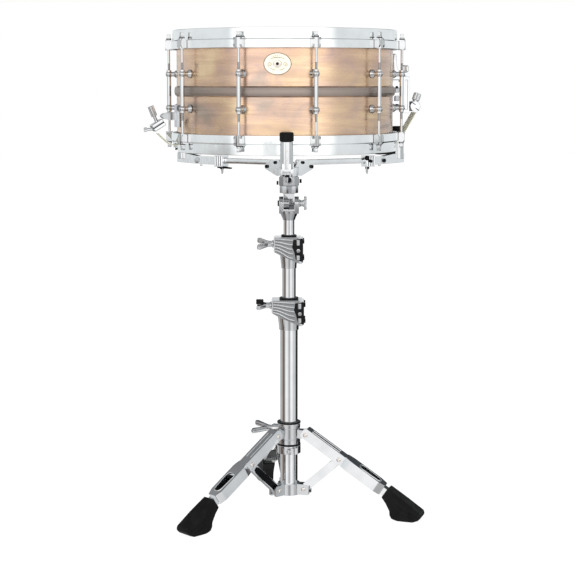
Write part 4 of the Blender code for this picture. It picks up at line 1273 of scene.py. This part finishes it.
def tilter():
    """The knuckle between the cheeks, half ribbed and half hexagonal, and the spindle block over it."""
    where = MAST @ shift(0, 0, TILT_Z)
    round_half = pin(mm(-8.8, 0, 0), mm(0.2, 0, 0), 10.5 * MM)
    six = arc((0, 0), 10.8 * MM, 10, 310, 5)
    hex_half = moved(flat_plate(six, 9 * MM, "YZ"), shift(4.3 * MM, 0, 0))
    neck = flat_block(mm(-8.8, -7, 0), mm(8.8, 7, 16.2))
    spindle = pin(mm(0, 0, 14), mm(0, 0, 32), 5 * MM)
    plan = [mm(-16, -8), mm(-8.5, -14), mm(8.5, -14), mm(16, -8)]
    plan += [mm(16, 8), mm(8.5, 14), mm(-8.5, 14), mm(-16, 8)]
    head = moved(flat_plate(fillet(plan, 3 * MM, 3), 14 * MM, "XY"), shift(0, 0, 36.2 * MM))
    boss = pin(mm(0, -9, 38.6), mm(0, -15.6, 38.6), 6.2 * MM)
    hole = pin(mm(-7, 0, 0), mm(12, 0, 0), 4.3 * MM)
    grooves = [
        moved(
            lathe([mm(9.9, -0.5), mm(12, -0.5), mm(12, 0.5), mm(9.9, 0.5)], 48),
            shift(x * MM, 0, 0) @ turn(90, "Y"),
        )
        for x in (-7, -4.8, -2.6)
    ]
    mesh = cast(
        [round_half, hex_half, neck, spindle, head, boss], [hole, *grooves], edge=1.0 * MM, segments=3
    )
    piece("tilter_knuckle", mesh, HINGE_CHROME, "tilter", where, "tilter_body")
    socket = [(2.1, 3.6), (3.9, 3.6), (4.3, 3.0), (4.3, 0), (0, 0), (0, 1.6), (2.1, 1.6)]
    bolt = lathe(in_mm(socket), 36)
    moved(bolt, shift(0, -15.4 * MM, 38.6 * MM) @ turn(90, "X"))
    sides = [
        hex_bolt(mm(-17, 0, 33), mm(-20, 0, 33), 3.4 * MM),
        hex_bolt(mm(17, 0, 36), mm(20.5, 0, 36), 3.6 * MM),
    ]
    piece("tilter_bolts", joined(bolt, *sides), DARK_STEEL_AND_CHANNEL_SHADE, "tilter", where)
    flanks = [bar(mm(side * 15.2 - 1, -6, 30), mm(side * 15.2 + 1, 6, 46), 0.7 * MM) for side in (-1, 1)]
    piece("tilter_flanks", joined(*flanks), STEEL_CHROME, "tilter", where)
    nut = plate([wavy(15 * MM, 2.2 * MM, 8), arc((0, 0), 5.5 * MM, 0, 350, 35)], 12.2 * MM, 0.9 * MM, "XY")
    moved(nut, shift(0, 0, 22.7 * MM))
    piece("scalloped_nut", nut, SMOKED_CHROME, "basket_nut", where, "basket_nut")


# ---------------------------------------------------------------- basket


def basket_hub():
    drum = lathe(fillet([mm(0, 552.6, 0), mm(16, 552.6), mm(16, 568), mm(0, 568, 0)], 1.2 * MM, 4), 64)
    cheek = [
        (8, 553, 0), (20, 553, 3), (42, 564, 3), (42.6, 570.4, 2), (30, 579, 5), (16, 579, 3), (8, 566, 0)
    ]
    outline = rounded(cheek, 4)
    walls = [drum]
    bolts = []
    for azimuth in ARM_AZIMUTHS.values():
        for side in (-1, 1):
            aim = turn(azimuth - 90, "Z")
            walls.append(moved(flat_plate(outline, 2.4 * MM), aim @ shift(0, side * 5.0 * MM, 0)))
            face = side * 6.2 * MM
            tip = side * 8.6 * MM
            bolts.append(
                moved(hex_bolt((38 * MM, face, 567.6 * MM), (38 * MM, tip, 567.6 * MM), 3.2 * MM), aim)
            )
            bolts.append(
                moved(hex_bolt((22 * MM, face, 574.5 * MM), (22 * MM, tip, 574.5 * MM), 2.8 * MM), aim)
            )
    piece(
        "basket_hub_casting",
        cast(walls, edge=0.5 * MM),
        STEEL_CHROME,
        "tilter",
        MAST,
        "basket_hub",
    )
    piece("basket_hub_bolts", joined(*bolts), DARK_STEEL_AND_CHANNEL_SHADE, "tilter")


def basket_arm(name, azimuth):
    where = around(azimuth)
    bar_mesh = bar(mm(16, -3.2, 570), mm(200, 3.2, 579), 1.3 * MM, 3)
    piece(
        f"arm_bar_{name}",
        bar_mesh,
        STEEL_CHROME,
        f"arm_{name}",
        where,
        f"basket_arm_{name}",
    )


def basket_grip(name, azimuth):
    """The sliding end of an arm, its finned clamp and the upright sleeve."""
    where = around(azimuth)
    jaw_r, near = {"front": (141, -1), "right": (141, -1), "left": (123, 1)}[name]
    side_view = [
        (jaw_r, 567, 1),
        (178, 568, 4),
        (217, 570, 2),
        (217, 586, 3),
        (196, 584.5, 4),
        (176, 581, 5),
        (jaw_r, 580.6, 1),
    ]
    channel = flat_plate(rounded(side_view, 4), 12.4 * MM)
    jaw = flat_block(mm(jaw_r, -8.5, 564.5), mm(jaw_r + 17, 8.5, 583))
    slot = flat_block(mm(100, -3.7, 569.6), mm(202, 3.7, 579.4))
    sleeve = fillet([mm(0, 576, 0), mm(9.7, 576), mm(9.7, 616.6), mm(0, 616.6, 0)], 0.8 * MM, 4)
    post = moved(lathe(sleeve, 64), shift(GRIP_R, 0, 0))
    mesh = cast([channel, jaw], [slot], edge=0.8 * MM)
    fins = []
    shades = []
    for side in (-1, 1):
        for index in range(4):
            x = (jaw_r + 2.2 + 4.2 * index) * MM
            fins.append(
                pin((x, side * 8.6 * MM, 565.4 * MM), (x, side * 8.6 * MM, 582.4 * MM), 1.5 * MM, steps=20)
            )
            if index:
                groove_x = x - 2.1 * MM
                start = (groove_x, side * 8.7 * MM, 566 * MM)
                shades.append(
                    pin(start, (groove_x, side * 8.7 * MM, 582 * MM), 0.5 * MM, edge=0.1 * MM, steps=12)
                )
    groove = flat_block((GRIP_R + 9.3 * MM, -0.7 * MM, 584 * MM), (GRIP_R + 11 * MM, 0.7 * MM, 611 * MM))
    dots = [
        pin((GRIP_R + 9 * MM, 0, z * MM), (GRIP_R + 10.3 * MM, 0, z * MM), 1.5 * MM, steps=24)
        for z in (590, 603)
    ]
    body = f"grip_{name}"
    piece(
        f"grip_channel_{name}",
        joined(mesh, *fins),
        STEEL_CHROME,
        body,
        where,
        f"basket_grip_{name}",
    )
    piece(f"grip_shades_{name}", joined(*shades), PAINTED_GROOVE_SHADE, body, where)
    piece(f"grip_sleeve_{name}", cast([post], [groove], edge=0), LUG_CHROME, body, where)
    piece(f"grip_rivets_{name}", joined(*dots), RIVET, body, where)
    screw_r = jaw_r + 7
    black = [hex_bolt(mm(screw_r, 0, 564.6), mm(screw_r, 0, 560.4), 4.0 * MM)]
    if name == "right":
        black.append(ball(mm(jaw_r + 1, near * 9, 579), 4.2 * MM))
        black.append(pin(mm(jaw_r + 3, near * 9, 575), mm(jaw_r + 10, near * 9.4, 573), 2.6 * MM))
        black.append(hex_bolt(mm(176, near * 6, 574), mm(176, near * 9.4, 574), 3.4 * MM))
    else:
        lever = [
            (jaw_r - 2, 565.4, 1),
            (jaw_r + 12, 564.4, 1),
            (jaw_r + 12, 562.2, 1),
            (jaw_r - 14, 561.4, 1.4),
            (jaw_r - 16, 563.4, 1.4),
        ]
        lever = in_mm(lever)
        black.append(moved(plate(fillet(lever, 0, 3), 5 * MM, 0.6 * MM), shift(0, near * 5 * MM, 0)))
    piece(f"grip_lever_{name}", joined(*black), DARK_STEEL_AND_CHANNEL_SHADE, body, where)
    bright = [pin(mm(screw_r, 0, 561), mm(screw_r, 0, 552), 2.0 * MM, 0.9 * MM)]
    bright.append(pin(mm(screw_r - 4, near * 4, 563.8), mm(screw_r - 4, near * 4, 554), 1.4 * MM, 0.8 * MM))
    bright.append(pin(mm(176, near * 5, 574), mm(176, near * 7.4, 574), 5.0 * MM, edge=0.4 * MM))
    bright.append(pin(mm(170, near * 3, 568), mm(170, near * 3, 564.6), 2.0 * MM))
    piece(f"grip_screw_{name}", joined(*bright), CAST_CHROME, body, where)


def grip_rubber(name, azimuth):
    cap = [
        (0, 617, 0), (10.5, 617, 0.6), (10.7, 622, 6), (10.5, 629.2, 1.8), (9.0, 630.5, 1.2), (0, 630.7, 0)
    ]
    dome = moved(lathe(rounded(cap, 4), 48), shift(GRIP_R, 0, 0))
    bridge = flat_block(mm(195, -4.2, 617.2), mm(204, 4.2, 622))
    strip = flat_block(mm(195, -4.2, 583), mm(197.9, 4.2, 621))
    ledge = flat_block(mm(167, -5.5, 584), mm(197.9, 5.5, 593.2))
    ridges = [bar(mm(x, -5, 592.6), mm(x + 1.4, 5, 593.6), 0.4 * MM, 2) for x in range(169, 191, 3)]
    pad = cast([bridge, strip, ledge], edge=1.3 * MM, segments=3)
    mesh = joined(dome, pad, *ridges)
    piece(
        f"rubber_pad_{name}", mesh, RUBBER, f"grip_{name}", around(azimuth), f"grip_rubber_{name}"
    )


# ---------------------------------------------------------------- tripod


def rivet(radius, height):
    """A domed rivet head on z = 0, with a shallow dimple."""
    outline = [
        (0, 0, 0),
        (radius, 0, 0.2),
        (radius * 0.96, height * 0.55, 0.5),
        (radius * 0.5, height, 0.6),
        (0, height * 0.8, 0),
    ]
    return lathe(rounded(outline, 3), 32)


def both_sides(head, place, half_width):
    """A rivet head on each side of a piece, at y = +-half_width in the frame at place."""
    near = moved(head.copy(), place @ shift(0, -half_width, 0) @ turn(90, "X"))
    far = moved(head.copy(), place @ shift(0, half_width, 0) @ turn(-90, "X"))
    return [near, far]


def collars():
    ring = lathe(fillet([mm(18.5, 28), mm(18.5, 47), mm(14.2, 47), mm(14.2, 28)], 1.0 * MM, 4), 64)
    ears = [ring]
    slots = []
    pins = []
    for azimuth in LEG_AZIMUTHS.values():
        aim = turn(azimuth - 90, "Z")
        outline = [(15.5, 29, 0), (36.5, 29, 3), (36.5, 46.5, 4), (15.5, 46.5, 0)]
        ear = flat_plate(rounded(outline, 4), 16.4 * MM)
        ears.append(moved(ear, aim))
        slots.append(moved(flat_block(mm(19.0, -4.4, 20), mm(40, 4.4, 60)), aim))
        spot = aim @ shift(BRACE_PIVOT[0], 0, BRACE_PIVOT[1])
        pins += both_sides(rivet(3.6, 1.5), spot, 8.2 * MM)
    clear = pin(mm(0, 0, 20), mm(0, 0, 60), 14.7 * MM, steps=64)
    mesh = cast(ears, [*slots, clear], edge=0.7 * MM)
    piece("foot_collar", mesh, CAST_CHROME, "mast_base", MAST, "bottom_collar")
    piece("brace_pins", joined(*pins), RIVET, "mast_base")

    pivot_r, pivot_z = LEG_PIVOT
    profile = [
        (18.6, 113, 0.8),
        (18.6, 121, 0.5),
        (18.0, 122, 0.5),
        (18.0, 139, 0.5),
        (18.6, 140, 0.5),
        (18.6, 147, 0.8),
        (14.2, 147, 0),
        (14.2, 113, 0),
    ]
    body = [lathe(rounded(profile, 3), 64)]
    tongue = arc((pivot_r, pivot_z), 6.8 * MM, -90, 90, 14) + [
        (16 * MM, pivot_z + 6.8 * MM), (16 * MM, pivot_z - 6.8 * MM)
    ]
    heads = []
    for azimuth in LEG_AZIMUTHS.values():
        aim = turn(azimuth - 90, "Z")
        body.append(moved(flat_plate(tongue, 13.8 * MM), aim))
        heads += both_sides(rivet(3.8, 1.6), aim @ shift(pivot_r, 0, pivot_z), 9.55 * MM)
    bolt_aim = turn(LEG_BOLT_AZIMUTH - 90, "Z")
    boss = moved(pin((16 * MM, 0, LEG_BOLT_Z), (27 * MM, 0, LEG_BOLT_Z), 7.5 * MM), bolt_aim)
    hole = moved(pin((12 * MM, 0, LEG_BOLT_Z), (30 * MM, 0, LEG_BOLT_Z), 4.3 * MM), bolt_aim)
    bore = pin(mm(0, 0, 100), mm(0, 0, 160), 14.8 * MM, steps=64)
    mesh = cast([*body, boss], [hole, bore], edge=0.6 * MM)
    piece("sliding_collar", mesh, CAST_CHROME, "leg_collar", MAST, "leg_collar")
    piece("leg_pins", joined(*heads), RIVET, "leg_collar")
    collar_ring("collar_top_ring", 14.5, 19.4, 147.1, 150.0, "leg_collar")
    collar_ring("collar_low_ring", 14.5, 19.4, 110.7, 112.9, "leg_collar")

    lock = [(19.3, 97, 0.8), (19.3, 110.5, 0.8), (14.7, 110.5, 0.4), (14.7, 97, 0.4)]
    ring = lathe(rounded(lock, 3), 64)
    block = moved(flat_block(mm(16, -6, 98.5), mm(24.5, 6, 109)), turn(20 - 90, "Z"))
    split = moved(flat_block(mm(14, -0.8, 90), mm(30, 0.8, 120)), turn(20 - 90, "Z"))
    piece(
        "lock_ring",
        cast([ring, block], [split], edge=0.6 * MM),
        CAST_CHROME,
        "mast_base",
        MAST,
        "memory_lock",
    )
    key = bar(mm(20.6, -11.5, 101.4), mm(25.4, -6.5, 106.2), 0.6 * MM)
    flange = pin(mm(23, -6, 103.8), mm(23, -7.6, 103.8), 3.6 * MM)
    key_bolt = moved(joined(key, flange), turn(20 - 90, "Z"))
    piece("lock_key_bolt", key_bolt, LUG_CHROME, "mast_base")


def leg_mesh():
    """A pressed channel, open underneath, that widens round a long window in its lower half."""
    upper = [
        (-7.5, -4.5, 2), (-4.5, -7.5, 2), (86, -7.5, 0), (86, 9.9, 0), (-3.5, 9.9, 2.5), (-7.5, 5.9, 2.5)
    ]
    top = flat_plate(rounded(upper, 4), 19 * MM)
    half = [(74, 9.4, 4), (86, 12.5, 8), (141, 12.5, 9), (153, 8.6, 2)]
    wide = half + [(x, -y, soft) for x, y, soft in reversed(half)]
    lower = flat_plate(rounded(wide, 5), 18.4 * MM, "XY")
    moved(lower, shift(0, 0, 1.7 * MM))
    neck = flat_block(mm(148, -7, -6), mm(163, 7, 7))
    upper_room = flat_block(mm(-12, -7.9, -20), mm(90, 7.9, 8.3))
    room = [(80, -10.6, 3), (142, -10.6, 5), (142, 10.6, 5), (80, 10.6, 3)]
    lower_room = flat_plate(rounded(room, 4), 30 * MM, "XY")
    moved(lower_room, shift(0, 0, -6.7 * MM))
    window = arc(mm(109.5, 0), 8.8 * MM, 90, 270, 14) + arc(mm(136, 0), 7.0 * MM, -90, 90, 14)
    opening = moved(flat_plate(window, 24 * MM, "XY"), shift(0, 0, 10 * MM))
    mesh = cast([top, lower, neck], [upper_room, lower_room, opening], edge=1.1 * MM, segments=3)
    lip = wire([(x, y, 10.9 * MM) for x, y in window], 0.75 * MM, closed=True, smooth=False)
    rib = [pin(mm(6, y, 9.9), mm(62, y, 9.9), 0.8 * MM, steps=16) for y in (-4.6, 4.6)]
    return joined(mesh, lip, *rib)


def foot_mesh():
    """A moulded rubber shoe with rounded ends and side creases. Its frame is r and z."""
    outline = [(171, 53, 3), (225.5, 15, 6), (226.5, 9, 4), (221, 3.5, 4), (212, 0, 5), (186, 0, 5)]
    outline += [(177, 2.5, 4), (173.6, 8, 4), (173.2, 15, 8), (167, 27, 12), (160, 37, 2)]
    body = flat_plate(rounded(outline, 5), 26 * MM)
    waist = [(155, -20), (155, -10.6), (174, -10.6), (192, -12.4), (208, -13.6), (208, -20)]
    cuts = []
    for side in (-1, 1):
        flank = [mm(x, side * y) for x, y in waist]
        cuts.append(moved(flat_plate(flank, 120 * MM, "XY"), shift(0, 0, 20 * MM)))
    shoe = cast([body], cuts, edge=3.2 * MM, segments=5)
    creases = []
    for side in (-1, 1):
        for sag in (0.0, 1.0):
            start = (172 + 3 * sag, 34 - 8 * sag)
            end = (218 - 6 * sag, 10 - 3.5 * sag)
            points = []
            for step in range(9):
                t = step / 8
                drop = (3.5 + 2.5 * sag) * math.sin(math.pi * t)
                width = 10.2 + 2.9 * min(1.0, t * 1.5)
                points.append(
                    mm(
                        start[0] + (end[0] - start[0]) * t,
                        side * width,
                        start[1] + (end[1] - start[1]) * t - drop,
                    )
                )
            creases.append(wire(points, 0.8 * MM))
    return joined(shoe, *creases)


def tripod():
    leg = leg_mesh()
    foot = foot_mesh()
    slope = math.radians(LEG_SLOPE)
    pivot_r, pivot_z = LEG_PIVOT
    rivet_r = pivot_r + RIVET_ALONG_LEG * math.cos(slope)
    rivet_z = pivot_z - RIVET_ALONG_LEG * math.sin(slope)
    brace_r, brace_z = BRACE_PIVOT
    length = math.hypot(rivet_r - brace_r, rivet_z - brace_z)
    rise = math.degrees(math.atan2(rivet_z - brace_z, rivet_r - brace_r))
    half = 7.0 * MM
    outline = arc((0, 0), half, 90, 270, 16) + [(length - 20 * MM, -half)]
    outline += arc((length, 0), 4 * MM, -90, 90, 12) + [(length - 20 * MM, half)]
    hollow = arc(mm(8, 0), half - 1.6 * MM, 90, 270, 12)
    hollow += [(length - 20 * MM, 1.6 * MM - half), (length - 14 * MM, -3 * MM), (length - 14 * MM, 3 * MM)]
    hollow += [(length - 20 * MM, half - 1.6 * MM)]
    inside = moved(flat_plate(hollow, 12 * MM), shift(0, 8.4 * MM, 0))
    brace = cast([flat_plate(outline, 8 * MM)], [inside], edge=0.7 * MM)
    # Dark sheets inside the strut's hollow and under the leg's window: painted shade inside the channels.
    strut_shade_sheet = moved(flat_plate(hollow, 1.2 * MM), shift(0, 2.0 * MM, 0))
    leg_shade_sheet = bar(mm(96, -9.6, -5), mm(142, 9.6, -3.6), 0.5 * MM)
    head = rivet(3.8, 1.6)
    for name, azimuth in LEG_AZIMUTHS.items():
        out = around(azimuth)
        down = out @ shift(pivot_r, 0, pivot_z) @ turn(LEG_SLOPE, "Y")
        piece(f"channel_leg_{name}", leg, STEEL_CHROME, f"leg_{name}", down, f"leg_{name}")
        piece(f"rubber_foot_{name}", foot, RUBBER, f"leg_{name}", out, f"foot_{name}")
        heads = joined(*both_sides(head, shift(RIVET_ALONG_LEG, 0, 0), 9.5 * MM))
        piece(f"leg_rivets_{name}", heads, RIVET, f"leg_{name}", down)
        up = out @ shift(brace_r, 0, brace_z) @ turn(-rise, "Y")
        piece(f"strut_{name}", brace, STEEL_CHROME, f"brace_{name}", up, f"brace_{name}")
        piece(f"strut_inside_shade_{name}", strut_shade_sheet, DARK_STEEL_AND_CHANNEL_SHADE, f"brace_{name}", up)
        piece(f"leg_inside_shade_{name}", leg_shade_sheet, DARK_STEEL_AND_CHANNEL_SHADE, f"leg_{name}", down)


# ---------------------------------------------------------------- studio


def floor():
    bm = bmesh.new()
    bmesh.ops.create_grid(bm, x_segments=1, y_segments=1, size=12.0)
    mesh = bpy.data.meshes.new("floor")
    bm.to_mesh(mesh)
    bm.free()
    look = Look("studio_floor", (0.12, 0.12, 0.12), 0.9)
    look.set("Emission Color", (1.0, 1.0, 1.0, 1.0))
    look.set("Emission Strength", 0.94)
    mesh.materials.append(look.material)
    obj = bpy.data.objects.new("studio_floor", mesh)
    bpy.context.scene.collection.objects.link(obj)
    obj.visible_glossy = False


class Sky(Nodes):
    """The studio as the chrome sees it, painted by direction."""

    def __init__(self):
        world = bpy.data.worlds.new("studio")
        bpy.context.scene.world = world
        world.use_nodes = True
        super().__init__(world.node_tree)
        split = self.nodes.new("ShaderNodeSeparateXYZ")
        self.feed(split.inputs["Vector"], self.nodes.new("ShaderNodeTexCoord").outputs["Generated"])
        self.height = split.outputs["Z"]
        towards_front = self.math("MULTIPLY", split.outputs["Y"], -1.0)
        azimuth = self.math("ARCTAN2", split.outputs["X"], towards_front)
        self.azimuth = self.math("MULTIPLY_ADD", azimuth, 1 / math.tau, 0.5)

    def panorama(self, stops):
        """Tones by azimuth: stops are (degrees, colour or grey)."""
        return self.ramp(self.azimuth, [(degrees / 360 + 0.5, colour) for degrees, colour in stops])

    def band(self, *levels):
        """A mask by the height of the direction: levels are (elevation in degrees, grey)."""
        share = self.math("MULTIPLY_ADD", self.height, 0.5, 0.5)
        return self.ramp(share, [(0.5 + 0.5 * math.sin(math.radians(up)), grey) for up, grey in levels])


def world():
    """White to the eye. Chrome sees a softbox in front, grey sides, and dark shapes low and behind."""
    sky = Sky()
    side = (0.82, 0.855, 0.865)
    back = (0.84, 0.86, 0.87)
    bright = 1.65
    level = sky.panorama(
        [
            (-180, back),
            (-140, side),
            (-58, side),
            (-44, bright),
            (40, bright),
            (54, side),
            (140, side),
            (180, back),
        ]
    )
    below = sky.panorama(
        [
            (-180, 0.02),
            (-160, 0.30),
            (-128, 0.80),
            (-112, 0.34),
            (-92, (0.46, 0.42, 0.40)),
            (-80, (0.17, 0.13, 0.11)),
            (-62, (0.17, 0.13, 0.11)),
            (-52, 0.72),
            (-36, 1.04),
            (-20, 0.98),
            (-10, 0.82),
            (0, 0.44),
            (7, 0.44),
            (16, 0.74),
            (29, 1.10),
            (44, 1.02),
            (58, 0.72),
            (94, (0.62, 0.65, 0.67)),
            (106, 0.03),
            (180, 0.01),
        ]
    )
    under = sky.mix(sky.band((-62, 0.0), (-38, 1.0)), (0.85, 0.86, 0.87), below)
    patch = sky.panorama([(-24, 0.0), (-21, 1.0), (-9, 1.0), (-6, 0.0)])
    low_patch = sky.math("MULTIPLY", patch, sky.band((-4.2, 0.0), (-3.6, 1.0), (-2.4, 1.0), (-1.9, 0.0)))
    around_it = sky.mix(low_patch, sky.mix(sky.band((-4.4, 0.0), (-3.2, 1.0)), under, level), side)
    behind = sky.panorama([(-152, 1.0), (-118, 0.0), (118, 0.0), (148, 1.0)])
    above = sky.band((8, 0.0), (13, 1.0), (52, 1.0), (64, 0.0))
    shade = sky.math("MULTIPLY", behind, above)
    overhead = sky.band((26, 0.0), (32, 1.0), (78, 1.0), (86, 0.0))
    ceiling = sky.mix(overhead, around_it, (0.56, 0.57, 0.58))
    seen_in_chrome = sky.mix(shade, ceiling, (0.06, 0.065, 0.07))
    to_the_eye = sky.nodes.new("ShaderNodeLightPath").outputs["Is Camera Ray"]
    background = sky.nodes["Background"]
    sky.feed(background.inputs["Color"], sky.mix(to_the_eye, seen_in_chrome, (1.0, 1.0, 1.0)))


def soft_light(name, place, aim, size, power):
    data = bpy.data.lights.new(name, "AREA")
    data.shape = "DISK"
    data.size = size
    data.energy = power
    obj = bpy.data.objects.new(name, data)
    obj.location = place
    obj.rotation_euler = (Vector(aim) - Vector(place)).to_track_quat("-Z", "Y").to_euler()
    obj.visible_glossy = False
    bpy.context.scene.collection.objects.link(obj)


def studio():
    floor()
    world()
    soft_light("overhead", (0.3, -0.6, 2.6), (0, 0, 0.2), 2.6, 34.0)
    soft_light("front_fill", (-0.8, -2.6, 1.2), (0, 0, 0.5), 1.8, 12.0)


def camera():
    """A long lens at the height of the drum, tipped a little down."""
    data = bpy.data.cameras.new("camera")
    data.lens = 94.23
    data.sensor_width = 36.0
    data.shift_y = -0.05
    data.clip_start = 0.05
    data.clip_end = 60.0
    obj = bpy.data.objects.new("camera", data)
    obj.location = (AXIS.x - 2.4 * MM, AXIS.y - 2.498, 0.7245)
    obj.rotation_euler = (math.radians(90 - 6.72), 0, 0)
    bpy.context.scene.collection.objects.link(obj)
    bpy.context.scene.camera = obj
    bpy.context.scene.view_settings.view_transform = "Standard"


shell()
badge()
heads()
hoops()
lugs()
throw_off()
strap_clamp()
tension_knob()
strap("throw_strap", THROW_AZIMUTH, mm(224.6, -35.7), "snare_wires", "throw_off_strap")
strap("butt_band", BUTT_AZIMUTH, mm(212.5, -67.6), "drum", "butt_strap")
snare_wires()
butt()
mast_tube("lower_mast_tube", "lower_tube", 14.3, 12.7, 28, 347, "mast_base")
mast_tube("middle_mast_tube", "middle_tube", 11.1, 10.0, 150, 450, "middle_mast")
upper_tube()
clamps()
wing_bolts()
tilter()
basket_hub()
for arm_name, arm_azimuth in ARM_AZIMUTHS.items():
    basket_arm(arm_name, arm_azimuth)
    basket_grip(arm_name, arm_azimuth)
    grip_rubber(arm_name, arm_azimuth)
collars()
tripod()
studio()
camera()
